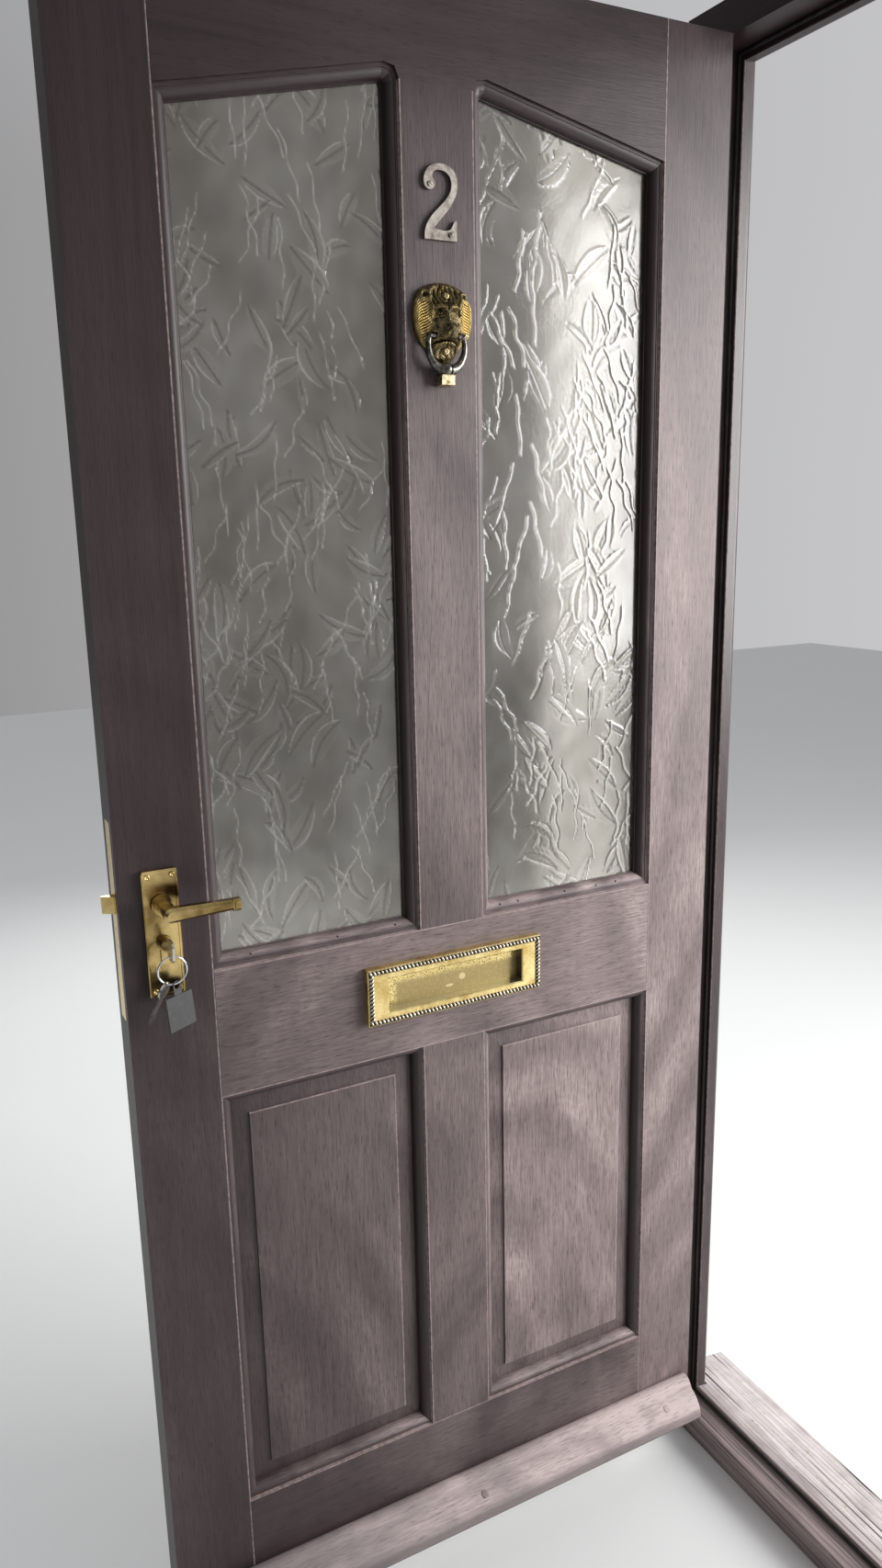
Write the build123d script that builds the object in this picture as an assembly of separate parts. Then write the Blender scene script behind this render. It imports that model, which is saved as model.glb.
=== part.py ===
from build123d import *
import math
import os

os.makedirs("parts", exist_ok=True)

# Millimetres. X runs across the doorway with the hinges on the +X side, +Y is the room side, +Z is up.
# The origin is on the sill's underside, in the middle of the frame's width and depth.
# The leaf is modelled shut in its frame and turned open about the hinge pins at the end.

# Frame
FRAME_DEPTH = 70
LEAF_W = 838
LEAF_H = 2032
LEAF_T = 44
SIDE_GAP = 2
HEAD_GAP = 3
SILL_GAP = 4
STOP = 13
JAMB_T = 44
REBATE_D = 47
SEAL_PROUD = 2.7
SEAL_BITE = 2.3

# Sill
SILL_OUT = 120
SILL_IN = 25
SILL_FLOOR = 43
UPSTAND = 13
UPSTAND_TOP = 3
SILL_STEP = 2
SILL_FALL = 15

# Leaf members
STILE_W = 102
MUNTIN_W = 92
BOTTOM_RAIL_TOP = 196
LOCK_RAIL_BOTTOM = 779
LOCK_RAIL_TOP = 941
PANE_SIDE_TOP = 1875
PANE_MID_TOP = 1934
PANE_ROUND = 18
TENON_T = 15
TENON_FIT = 0.2

# Mouldings, measured inward from an opening's edge
LIP = 3.5
OVOLO = 12.5
GLASS_FACE = 20
GLASS_T = 4
GLASS_PLAY = 1.5
BEAD_W = 15.5
BEAD_LIP = 4
PANEL_FACE = 13
PANEL_T = 18
TONGUE_T = 8
TONGUE_L = 10
GROOVE_FIT = 0.2
FIELD_MARGIN = 36
FIELD_STEP = 2.5

# Hinges
PIVOT_OUT = 6
KNUCKLE_R = 5
PIN_R = 3
PIN_FIT = 0.05
HINGE_H = 100
HINGE_PLATE_T = 2.5
HINGE_PLATE_W = 27
HINGE_Z = (250, 1040, 1830)
KNUCKLE_GAP = 0.3

# Lock and handles
HANDLE_U = 46.5
SPINDLE_Z = 1036
CYLINDER_DROP = 46
BOLT_D = 22
PLATE_W = 41
PLATE_H = 150
PLATE_T = 7
PLATE_DROP = 35
PLATE_SCREW_PITCH = (28, 136)
NECK_R = 8
NECK_FIT = 0.06
ROSE_R = 12
ROSE_T = 4.5
FACE_GAP = 0.3
LEVER_IN = 44
LEVER_OUT = 55
LEVER_TIP = 124
SPINDLE = 8
LATCH_OUT = 13
LATCH_H = 20
LATCH_T = 12
DEAD_H = 20
DEAD_T = 13
BOLT_FIT = 0.3
CASE_T = 15
CASE_BELOW = 106
CASE_ABOVE = 64
FOREND_BELOW = 138
FOREND_ABOVE = 97
KEEP_BELOW = 106
KEEP_ABOVE = 54
CASE_U = (3, 76)
PLUG_R = 6.5
PLUG_FIT = 0.05
CYLINDER_R = 8.5

# Letter plate
LETTER_Z = 867
LETTER_W = 254
LETTER_H = 76
LETTER_T = 12
LETTER_WALL = 2.2
LETTER_SUNK = 2.6
LETTER_BOLT_U = 113
ROPE_R = 3.6
ROPE_SUNK = 1.8
ROPE_PITCH = 5.3
SLOT_W = 197
SLOT_H = 45
FLAP_T = 1.6
FLAP_LAP = 1.4
FLAP_PIN_UP = 5

# Knocker and numeral, from the leaf's centre line
KNOCKER_T = 4
STRIKER_Z = 1654
STRIKER_N = 13
BROW_SCREW = (43, 13)
CHIN_SCREW = (-16, 11)
NUMERAL_Z = 1757
NUMERAL_T = 5

# Weatherboard
BOARD_ENDS = (13, 825)
BOARD_SPLAY = 4
BOARD_PROFILE = (
    (0, 43.5), (0, 92.5), (7, 96.5), (14.8, 95.5), (20.5, 91), (23.6, 86.5), (26.2, 81.8),
    (30.5, 79.6), (36.5, 75.5), (42.3, 69), (46.8, 61.5), (49, 54), (49.4, 47), (47.8, 43.5),
)

# Keys
BOW_DROP = 6.5
BOW_N = 34
NOSE_N = 19
RING_R = 16.3
RING_WIRE = 1.1
RING_REST = 0.9
SPARE_ANGLE = -27
SPARE_LEAN = 42
TAG_ANGLE = 12
TAG_LEAN = 60
TAG_SIDE = 39

HALF_REBATE = LEAF_W / 2 + SIDE_GAP
HALF_SIGHT = HALF_REBATE - STOP
HALF_FRAME = HALF_REBATE + JAMB_T
INNER_Y = FRAME_DEPTH / 2
OUTER_Y = -FRAME_DEPTH / 2
STOP_Y = INNER_Y - REBATE_D
LEAF_IN_Y = INNER_Y
LEAF_OUT_Y = LEAF_IN_Y - LEAF_T
LEAF_Z = SILL_FLOOR + SILL_GAP
HEAD_Z = LEAF_Z + LEAF_H + HEAD_GAP
FRAME_TOP = HEAD_Z + JAMB_T
PIVOT_X = LEAF_W / 2 + SIDE_GAP / 2
PIVOT_Y = INNER_Y + PIVOT_OUT
MID_U = LEAF_W / 2
MUNTIN_U = (MID_U - MUNTIN_W / 2, MID_U + MUNTIN_W / 2)
RIGHT_STILE_U = LEAF_W - STILE_W
NUMERAL_U = MID_U - 21.5
RAKE = (PANE_MID_TOP - PANE_SIDE_TOP) / (MUNTIN_U[0] - STILE_W)
TENON_D = (LEAF_T - TENON_T) / 2
CYLINDER_Z = SPINDLE_Z - CYLINDER_DROP
DEAD_Z = CYLINDER_Z + 6
PLATE_Z = SPINDLE_Z - PLATE_DROP
CASE_Z = (SPINDLE_Z - CASE_BELOW, SPINDLE_Z + CASE_ABOVE)
FOREND_Z = (SPINDLE_Z - FOREND_BELOW, SPINDLE_Z + FOREND_ABOVE)
FLAP_PIN_Z = LETTER_Z + SLOT_H / 2 + FLAP_PIN_UP
FLAP_PIN_D = LETTER_SUNK + 2.7
KNOCKER_SCREWS = tuple((STRIKER_Z + rise, out) for rise, out in (BROW_SCREW, CHIN_SCREW))


def fused(parts):
    whole = parts[0]
    for part in parts[1:]:
        whole = whole + part
    return whole


def block(x0, x1, y0, y1, z0, z1):
    return Pos((x0 + x1) / 2, (y0 + y1) / 2, (z0 + z1) / 2) * Box(x1 - x0, y1 - y0, z1 - z0)


def leaf_block(u0, u1, d0, d1, z0, z1):
    """u from the lock edge, d inward from the outer face, z from the leaf's bottom."""
    x0 = u0 - MID_U
    x1 = u1 - MID_U
    return block(x0, x1, LEAF_OUT_Y + d0, LEAF_OUT_Y + d1, LEAF_Z + z0, LEAF_Z + z1)


def leaf_point(u, d, z):
    return Vector(u - MID_U, LEAF_OUT_Y + d, LEAF_Z + z)


def leaf_plane(u, d, z):
    """A sketch plane on the leaf's outer face: x along u, y up, normal out of the door."""
    return Plane(origin=leaf_point(u, d, z), x_dir=(1, 0, 0), z_dir=(0, -1, 0))


def leaf_rod(u, z, r, d0, d1):
    """A round bar through the leaf's thickness."""
    return extrude(leaf_plane(u, d1, z) * Circle(r), d1 - d0)


def long_rod(u0, u1, d, z, r):
    """A round bar along the leaf's width."""
    plane = Plane(origin=leaf_point(u0, d, z), x_dir=(0, 1, 0), z_dir=(1, 0, 0))
    return extrude(plane * Circle(r), u1 - u0)


def outline_face(plane, steps):
    """A closed face. A step is a point, or (through, end) for an arc."""
    edges = []
    first = steps[0]
    last = first
    for step in list(steps[1:]) + [first]:
        if isinstance(step[0], (tuple, list)):
            edges.append(ThreePointArc(last, step[0], step[1]))
            last = step[1]
        elif step != last:
            edges.append(Line(last, step))
            last = step
    return plane * make_face(edges)


def mitred_side(points, i, steps, closed, depth0=LEAF_OUT_Y):
    """One side of a moulding that runs round points (x, z) with the space on its left.

    steps is the section as (width into the space, depth from depth0 toward the room).
    """
    count = len(points)
    a = Vector(points[i][0], 0, points[i][1])
    b = Vector(points[(i + 1) % count][0], 0, points[(i + 1) % count][1])
    along = (b - a).normalized()
    inward = Vector(-along.Z, 0, along.X)
    over = 60
    plane = Plane(origin=Vector(a.X, depth0, a.Z) - along * over, x_dir=inward, z_dir=along)
    flip = 1 if plane.y_dir.Y > 0 else -1

    def turn(step):
        if isinstance(step[0], (tuple, list)):
            return (turn(step[0]), turn(step[1]))
        return (step[0], step[1] * flip)

    bar = extrude(outline_face(plane, [turn(step) for step in steps]), (b - a).length + 2 * over)
    for end, sign in ((i, -1), ((i + 1) % count, 1)):
        here = Vector(points[end][0], 0, points[end][1])
        if not closed and end in (0, count - 1):
            cut = Plane(origin=here, x_dir=(0, 1, 0), z_dir=along * sign)
        else:
            before = Vector(points[end - 1][0], 0, points[end - 1][1])
            after = Vector(points[(end + 1) % count][0], 0, points[(end + 1) % count][1])
            t0 = (here - before).normalized()
            t1 = (after - here).normalized()
            cut = Plane(origin=here, x_dir=(0, 1, 0), z_dir=(t0 + t1).normalized() * sign)
        bar = split(bar, bisect_by=cut, keep=Keep.BOTTOM)
    return bar


def arc_point(cx, cy, r, degrees):
    a = math.radians(degrees)
    return (cx + r * math.cos(a), cy + r * math.sin(a))


def save(name, shape):
    export_step(shape, f"parts/{name}.step")


# Frame: two jambs, a head and a sill, rebated for a leaf that opens into the room
def stop_section():
    r = 9
    depth = STOP_Y - OUTER_Y
    return [(0, 0), (STOP - r, 0), (arc_point(STOP - r, r, r, -45), (STOP, r)),
            (STOP, depth - 1), (STOP - 1, depth), (0, depth)]


STOP_PATH = ((HALF_REBATE, 0), (HALF_REBATE, HEAD_Z), (-HALF_REBATE, HEAD_Z), (-HALF_REBATE, 0))


def kerf_path():
    inset = SEAL_BITE
    x = HALF_REBATE - inset
    return ((x, SILL_FLOOR), (x, HEAD_Z - inset), (-x, HEAD_Z - inset), (-x, SILL_FLOOR))


def make_jamb(side):
    x0 = HALF_REBATE * side
    x1 = HALF_FRAME * side
    body = block(min(x0, x1), max(x0, x1), OUTER_Y, INNER_Y, 0, HEAD_Z)
    body = body + mitred_side(STOP_PATH, 0 if side > 0 else 2, stop_section(), False, OUTER_Y)
    mid = (x0 + x1) / 2
    body = body + block(mid - 9, mid + 9, -12, 14, HEAD_Z, HEAD_Z + 25)
    kerf = [(0, -4.5), (2.4, -4.5), (2.4, 0), (0, 0)]
    body = body - mitred_side(kerf_path(), 0 if side > 0 else 2, kerf, False, STOP_Y)
    return body


def make_head():
    body = block(-HALF_FRAME, HALF_FRAME, OUTER_Y, INNER_Y, HEAD_Z, FRAME_TOP)
    body = body + mitred_side(STOP_PATH, 1, stop_section(), False, OUTER_Y)
    for side in (-1, 1):
        mid = (HALF_REBATE + HALF_FRAME) / 2 * side
        body = body - block(mid - 9, mid + 9, -12, 14, HEAD_Z, HEAD_Z + 26)
    kerf = [(0, -4.5), (2.4, -4.5), (2.4, 0), (0, 0)]
    return body - mitred_side(kerf_path(), 1, kerf, False, STOP_Y)


def sill_face():
    top = SILL_FLOOR + UPSTAND
    step_y = STOP_Y - UPSTAND_TOP
    plane = Plane(origin=(-HALF_FRAME, 0, 0), x_dir=(0, 1, 0), z_dir=(1, 0, 0))
    nose = top - SILL_STEP - SILL_FALL
    return outline_face(plane, [
        (SILL_IN, 0), (SILL_IN, SILL_FLOOR - 2), (SILL_IN - 2, SILL_FLOOR), (STOP_Y, SILL_FLOOR),
        (STOP_Y, top - 1), (STOP_Y - 1, top), (step_y, top), (step_y, top - SILL_STEP),
        (-SILL_OUT + 8, nose + 1), (arc_point(-SILL_OUT + 8, nose - 7, 8, 135), (-SILL_OUT, nose - 7)),
        (-SILL_OUT, 4), (-SILL_OUT + 4, 0), (-SILL_OUT + 10, 0), ((-SILL_OUT + 14, 5), (-SILL_OUT + 18, 0)),
    ])


def make_sill(jambs):
    body = extrude(sill_face(), 2 * HALF_FRAME)
    for side in (-1, 1):
        x0 = HALF_REBATE * side
        x1 = (HALF_FRAME + 5) * side
        body = body - block(min(x0, x1), max(x0, x1), OUTER_Y, INNER_Y, -1, 100)
    for jamb in jambs:
        body = body - jamb
    for x0, x1 in ((-HALF_REBATE, -HALF_SIGHT), (HALF_SIGHT, HALF_REBATE)):
        body = body - block(x0, x1, OUTER_Y, STOP_Y, SILL_FLOOR, 100)
    z = SILL_FLOOR + SEAL_BITE
    return body - block(-HALF_REBATE, HALF_REBATE, STOP_Y - 4.5, STOP_Y, z, z + 2.4)


def make_seals():
    """A stem in the kerf with a half-round bulb that the shut leaf presses against."""
    section = [(0.1, -4.3), (2.3, -4.3), (2.3, 0), (4, 0), ((1.2, SEAL_PROUD), (-1.6, 0)), (0.1, 0)]
    path = kerf_path()
    z = SILL_FLOOR + SEAL_BITE
    plane = Plane(origin=(-HALF_SIGHT + 0.2, STOP_Y, z), x_dir=(0, 1, 0), z_dir=(1, 0, 0))
    lying = [(-4.3, 0.1), (-4.3, 2.3), (0, 2.3), (0, 4), ((SEAL_PROUD, 1.2), (0, -1.6)), (0, 0.1)]
    return {
        "seal_hinge_jamb": mitred_side(path, 0, section, False, STOP_Y),
        "seal_head": mitred_side(path, 1, section, False, STOP_Y),
        "seal_lock_jamb": mitred_side(path, 2, section, False, STOP_Y),
        "seal_sill": extrude(outline_face(plane, lying), 2 * HALF_SIGHT - 0.4),
    }


# Strike plate, let into the lock jamb's rebate face
def keep_holes(depth):
    x1 = -HALF_REBATE + 1
    y = LEAF_OUT_Y + BOLT_D
    latch = block(x1 - depth, x1, y - 8, y + 8, LEAF_Z + SPINDLE_Z - 12, LEAF_Z + SPINDLE_Z + 12)
    dead = block(x1 - depth, x1, y - 8, y + 8, LEAF_Z + DEAD_Z - 12, LEAF_Z + DEAD_Z + 12)
    return latch + dead


def make_keep():
    y = LEAF_OUT_Y + BOLT_D
    z0 = LEAF_Z + SPINDLE_Z - KEEP_BELOW
    z1 = LEAF_Z + SPINDLE_Z + KEEP_ABOVE
    x = -HALF_REBATE
    plate = block(x - 2, x, y - 12, y + 12, z0, z1)
    lip = block(x - 2, x, y + 12, INNER_Y - 1, z0 + 85, z1 - 20)
    return plate + lip, keep_holes(6)


# Hinges: the pin stays with the frame and the leaf's two knuckles turn on it
def hinge_parts(z_mid):
    z0 = LEAF_Z + z_mid - HINGE_H / 2
    step = HINGE_H / 5
    frame = []
    door = []
    plate_y = PIVOT_Y - HINGE_PLATE_W - PIVOT_OUT
    x = LEAF_W / 2
    edge_y = INNER_Y + 0.4
    frame.append(block(x + SIDE_GAP, x + SIDE_GAP + HINGE_PLATE_T, plate_y, edge_y, z0, z0 + HINGE_H))
    door.append(block(x - HINGE_PLATE_T, x, plate_y, edge_y, z0, z0 + HINGE_H))
    for i in range(5):
        low = z0 + i * step + (KNUCKLE_GAP / 2 if i else 0)
        high = z0 + (i + 1) * step - (KNUCKLE_GAP / 2 if i < 4 else 0)
        knuckle = Pos(PIVOT_X, PIVOT_Y, (low + high) / 2) * Cylinder(KNUCKLE_R, high - low)
        if i % 2 == 0:
            tongue = block(x + SIDE_GAP, x + SIDE_GAP + HINGE_PLATE_T, INNER_Y, PIVOT_Y, low, high)
            frame.append(knuckle + tongue)
        else:
            tongue = block(x - HINGE_PLATE_T, x, INNER_Y, PIVOT_Y, low, high)
            door.append(knuckle + tongue)
    bore = Pos(PIVOT_X, PIVOT_Y, z0 + HINGE_H / 2) * Cylinder(PIN_R + PIN_FIT, HINGE_H + 2)
    pin = Pos(PIVOT_X, PIVOT_Y, z0 + HINGE_H / 2) * Cylinder(PIN_R, HINGE_H)
    for z, sign in ((z0, -1), (z0 + HINGE_H, 1)):
        pin = pin + Pos(PIVOT_X, PIVOT_Y, z + sign) * Cylinder(KNUCKLE_R - 0.4, 2)
    return fused(frame) - bore, fused(door) - bore, pin


def hinge_recess(z_mid, side):
    """The pocket for one plate: side 1 in the jamb, side -1 in the leaf's edge."""
    z0 = LEAF_Z + z_mid - HINGE_H / 2
    plate_y = PIVOT_Y - HINGE_PLATE_W - PIVOT_OUT
    x = LEAF_W / 2
    if side > 0:
        return block(x + SIDE_GAP, x + SIDE_GAP + HINGE_PLATE_T, plate_y, INNER_Y + 1, z0, z0 + HINGE_H)
    return block(x - HINGE_PLATE_T, x, plate_y, INNER_Y + 1, z0, z0 + HINGE_H)


# Openings in the leaf, as corner points (x, z) that run with the opening on their left
def mirrored(points):
    return tuple((-x, z) for x, z in reversed(points))


def left_pane_points():
    x0 = STILE_W - MID_U
    x1 = MUNTIN_U[0] - MID_U
    low = LEAF_Z + LOCK_RAIL_TOP
    side = LEAF_Z + PANE_SIDE_TOP
    mid = LEAF_Z + PANE_MID_TOP
    r = PANE_ROUND
    return ((x0, low), (x1, low), (x1, mid - r), (x1 - 0.28 * r, mid - 0.36 * r), (x1 - r, mid - RAKE * r),
            (x0, side))


def left_panel_points():
    x0 = STILE_W - MID_U
    x1 = MUNTIN_U[0] - MID_U
    low = LEAF_Z + BOTTOM_RAIL_TOP
    top = LEAF_Z + LOCK_RAIL_BOTTOM
    return ((x0, low), (x1, low), (x1, top), (x0, top))


def panel_section():
    """Ovolo on both faces with the panel's groove between them."""
    back = LEAF_T - LIP
    g0 = PANEL_FACE + (PANEL_T - TONGUE_T) / 2 - GROOVE_FIT
    g1 = g0 + TONGUE_T + 2 * GROOVE_FIT
    gw = OVOLO - TONGUE_L - 1
    turn = LIP + OVOLO
    front = [(0, 0), (0, LIP), (arc_point(0, turn, OVOLO, -45), (OVOLO, turn))]
    groove = [(OVOLO, g0), (gw, g0), (gw, g1), (OVOLO, g1)]
    return front + groove + [
        (OVOLO, back - OVOLO), (arc_point(0, back - OVOLO, OVOLO, 45), (0, back)), (0, LEAF_T)]


def glazing_section():
    """The lip that the glass rests against, with an ovolo toward the room."""
    back = LEAF_T - LIP
    face = GLASS_FACE + GLASS_T
    return [(0, face), (OVOLO, face), (OVOLO, back - OVOLO),
            (arc_point(0, back - OVOLO, OVOLO, 45), (0, back)), (0, LEAF_T)]


def bead_section():
    r = 10.5
    return [(0, BEAD_LIP), (BEAD_W - r - 1, BEAD_LIP), (BEAD_W - r - 1, BEAD_LIP + 1),
            (arc_point(BEAD_W - r - 1, BEAD_LIP + 1 + r, r, -45), (BEAD_W - 1, BEAD_LIP + 1 + r)),
            (BEAD_W, BEAD_LIP + 1 + r), (BEAD_W, GLASS_FACE), (0, GLASS_FACE)]


def tenon(u0, u1, z0, z1, fit=0.0):
    """A tenon, or its mortice when fit is the clearance round it."""
    return leaf_block(u0 - fit, u1 + fit, TENON_D - fit, LEAF_T - TENON_D + fit, z0 - fit, z1 + fit)


RAIL_TENONS = (
    ("bottom_rail", 30, BOTTOM_RAIL_TOP - 21),
    ("lock_rail", LOCK_RAIL_BOTTOM + 21, CASE_Z[0] - 30),
    ("top_rail", PANE_SIDE_TOP + 20, LEAF_H - 32),
)
TENON_L = 62
MUNTIN_TENONS = (
    ("lower_muntin", "bottom_rail", BOTTOM_RAIL_TOP - 36, BOTTOM_RAIL_TOP),
    ("lower_muntin", "lock_rail", LOCK_RAIL_BOTTOM, LOCK_RAIL_BOTTOM + 25),
    ("upper_muntin", "lock_rail", LOCK_RAIL_TOP - 20, LOCK_RAIL_TOP),
    ("upper_muntin", "top_rail", PANE_MID_TOP - PANE_ROUND, PANE_MID_TOP + 26),
)


def make_timber():
    """The seven framed members of the leaf with their mouldings, tenons and mortices."""
    pane = left_pane_points()
    panel = left_panel_points()
    panes = (pane, mirrored(pane))
    panels = (panel, mirrored(panel))
    glaze = glazing_section()
    stuck = panel_section()

    def bars(which):
        """which lists (opening kind, side of the door, side numbers)."""
        found = []
        for kind, side, numbers in which:
            points = panes[side] if kind == "pane" else panels[side]
            section = glaze if kind == "pane" else stuck
            for i in numbers:
                found.append(mitred_side(points, i, section, True))
        return found

    # Side numbers of a left opening: 0 bottom, 1 muntin, then up round to the stile as the last one.
    # In a mirrored opening the order is reversed, so the bottom is the last but one.
    n = len(pane)
    top_left = list(range(2, n - 1))
    mirrored_side = {i: (2 * n - 2 - i) % n for i in range(n)}
    top_right = [mirrored_side[i] for i in top_left]

    def pane_side(side, i):
        return i if side == 0 else mirrored_side[i]

    def panel_side(side, i):
        return i if side == 0 else (6 - i) % 4

    members = {}
    for side, name, u0, u1 in ((0, "lock_stile", 0, STILE_W), (1, "hinge_stile", RIGHT_STILE_U, LEAF_W)):
        body = leaf_block(u0, u1, 0, LEAF_T, 0, LEAF_H)
        which = [("pane", side, [pane_side(side, n - 1)]), ("panel", side, [panel_side(side, 3)])]
        members[name] = fused([body] + bars(which))
    mid = PANE_MID_TOP - PANE_ROUND
    upper = leaf_block(MUNTIN_U[0], MUNTIN_U[1], 0, LEAF_T, LOCK_RAIL_TOP, mid)
    members["upper_muntin"] = fused([upper] + bars([("pane", 0, [1]), ("pane", 1, [pane_side(1, 1)])]))
    members["lower_muntin"] = fused(
        [leaf_block(MUNTIN_U[0], MUNTIN_U[1], 0, LEAF_T, BOTTOM_RAIL_TOP, LOCK_RAIL_BOTTOM)] + bars(
            [("panel", 0, [1]), ("panel", 1, [panel_side(1, 1)])]))
    members["bottom_rail"] = fused([leaf_block(STILE_W, RIGHT_STILE_U, 0, LEAF_T, 0, BOTTOM_RAIL_TOP)] + bars(
        [("panel", 0, [0]), ("panel", 1, [panel_side(1, 0)])]))
    lock = leaf_block(STILE_W, RIGHT_STILE_U, 0, LEAF_T, LOCK_RAIL_BOTTOM, LOCK_RAIL_TOP)
    members["lock_rail"] = fused([lock] + bars([
        ("panel", 0, [2]), ("panel", 1, [panel_side(1, 2)]), ("pane", 0, [0]),
        ("pane", 1, [pane_side(1, 0)])]))
    members["top_rail"] = fused([top_rail_body()] + bars([("pane", 0, top_left), ("pane", 1, top_right)]))

    ends = (("lock_stile", STILE_W - TENON_L, STILE_W),
            ("hinge_stile", RIGHT_STILE_U, RIGHT_STILE_U + TENON_L))
    for rail, z0, z1 in RAIL_TENONS:
        for stile, u0, u1 in ends:
            members[rail] = members[rail] + tenon(u0, u1, z0, z1)
            members[stile] = members[stile] - tenon(u0, u1, z0, z1, TENON_FIT)
    for muntin, rail, z0, z1 in MUNTIN_TENONS:
        u0 = MUNTIN_U[0] + 15
        u1 = MUNTIN_U[1] - 15
        members[muntin] = members[muntin] + tenon(u0, u1, z0, z1)
        members[rail] = members[rail] - tenon(u0, u1, z0, z1, TENON_FIT)
    return members


def top_rail_body():
    pane = left_pane_points()
    left = [(STILE_W - MID_U, LEAF_Z + LEAF_H), pane[5], pane[4], pane[3], pane[2]]
    points = left + [(-x, z) for x, z in reversed(left)]
    plane = Plane(origin=(0, LEAF_IN_Y, 0), x_dir=(1, 0, 0), z_dir=(0, -1, 0))
    return extrude(outline_face(plane, points), LEAF_T)


def make_panel(side):
    """A raised and fielded panel: flat field, bevelled margin and a tongue in the grooves."""
    edge = OVOLO - TONGUE_L
    u0 = STILE_W + edge if side == 0 else MUNTIN_U[1] + edge
    u1 = MUNTIN_U[0] - edge if side == 0 else RIGHT_STILE_U - edge
    z0 = BOTTOM_RAIL_TOP + edge
    z1 = LOCK_RAIL_BOTTOM - edge
    rest = FIELD_MARGIN - edge
    mid_d = PANEL_FACE + PANEL_T / 2
    body = leaf_block(u0, u1, mid_d - TONGUE_T / 2, mid_d + TONGUE_T / 2, z0, z1)
    for sign in (-1, 1):
        wide = rect_at((u0 + u1) / 2, mid_d + sign * TONGUE_T / 2, (z0 + z1) / 2,
                       u1 - u0 - 2 * TONGUE_L, z1 - z0 - 2 * TONGUE_L)
        narrow = rect_at((u0 + u1) / 2, mid_d + sign * (PANEL_T / 2 - FIELD_STEP), (z0 + z1) / 2,
                         u1 - u0 - 2 * rest, z1 - z0 - 2 * rest)
        body = body + loft([wide, narrow])
        d0 = mid_d + sign * TONGUE_T / 2
        d1 = mid_d + sign * PANEL_T / 2
        body = body + leaf_block(u0 + rest, u1 - rest, min(d0, d1), max(d0, d1), z0 + rest, z1 - rest)
    return body


def rect_at(u, d, z, w, h):
    return leaf_plane(u, d, z) * Rectangle(w, h)


def make_glass(points):
    """Obscured glass, cut to the opening with a little play in its rebate."""
    plane = Plane(origin=(0, LEAF_OUT_Y + GLASS_FACE + GLASS_T, 0), x_dir=(1, 0, 0), z_dir=(0, -1, 0))
    return extrude(offset(outline_face(plane, list(points)), -GLASS_PLAY, kind=Kind.INTERSECTION), GLASS_T)


def make_beads(points, names):
    """Mitred glazing beads: names maps a bead to its side numbers."""
    return {name: fused([mitred_side(points, i, bead_section(), True) for i in numbers])
            for name, numbers in names.items()}


# Weatherboard
def make_weatherboard():
    u0, u1 = BOARD_ENDS
    plane = Plane(origin=leaf_point(u0, 0, 0), x_dir=(0, -1, 0), z_dir=(1, 0, 0))
    flip = 1 if plane.y_dir.Z > 0 else -1
    n = BOARD_PROFILE
    edges = [Line((n[0][0], n[0][1] * flip), (n[1][0], n[1][1] * flip)),
             Spline(*[(p[0], p[1] * flip) for p in n[1:7]]),
             Spline(*[(p[0], p[1] * flip) for p in n[6:]]),
             Line((n[-1][0], n[-1][1] * flip), (n[0][0], n[0][1] * flip))]
    board = extrude(plane * make_face(edges), u1 - u0)
    far = BOARD_PROFILE[-2][0]
    corner = [leaf_point(u0 - 1, 0, 0), leaf_point(u0, 0, 0), leaf_point(u0 + BOARD_SPLAY, -far, 0),
              leaf_point(u0 - 1, -far - 5, 0)]
    wedge = extrude(make_face(Polyline(*corner, close=True)), 200)
    if wedge.bounding_box().min.Z < LEAF_Z - 10:
        wedge = Pos(0, 0, 200) * wedge
    return board - wedge


# Mortice lock in the lock stile, with a spring latch above and a deadbolt below
def cylinder_shape(u, d1, r, extra, length):
    """The round-and-flat outline of a profile cylinder."""
    plane = leaf_plane(u, d1, CYLINDER_Z)
    low = 24.5 + extra
    flat = Rectangle(10 + 2 * extra, low - 5)
    return extrude(plane * (Circle(r + extra) + Pos(0, -(low + 5) / 2) * flat), length)


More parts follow.
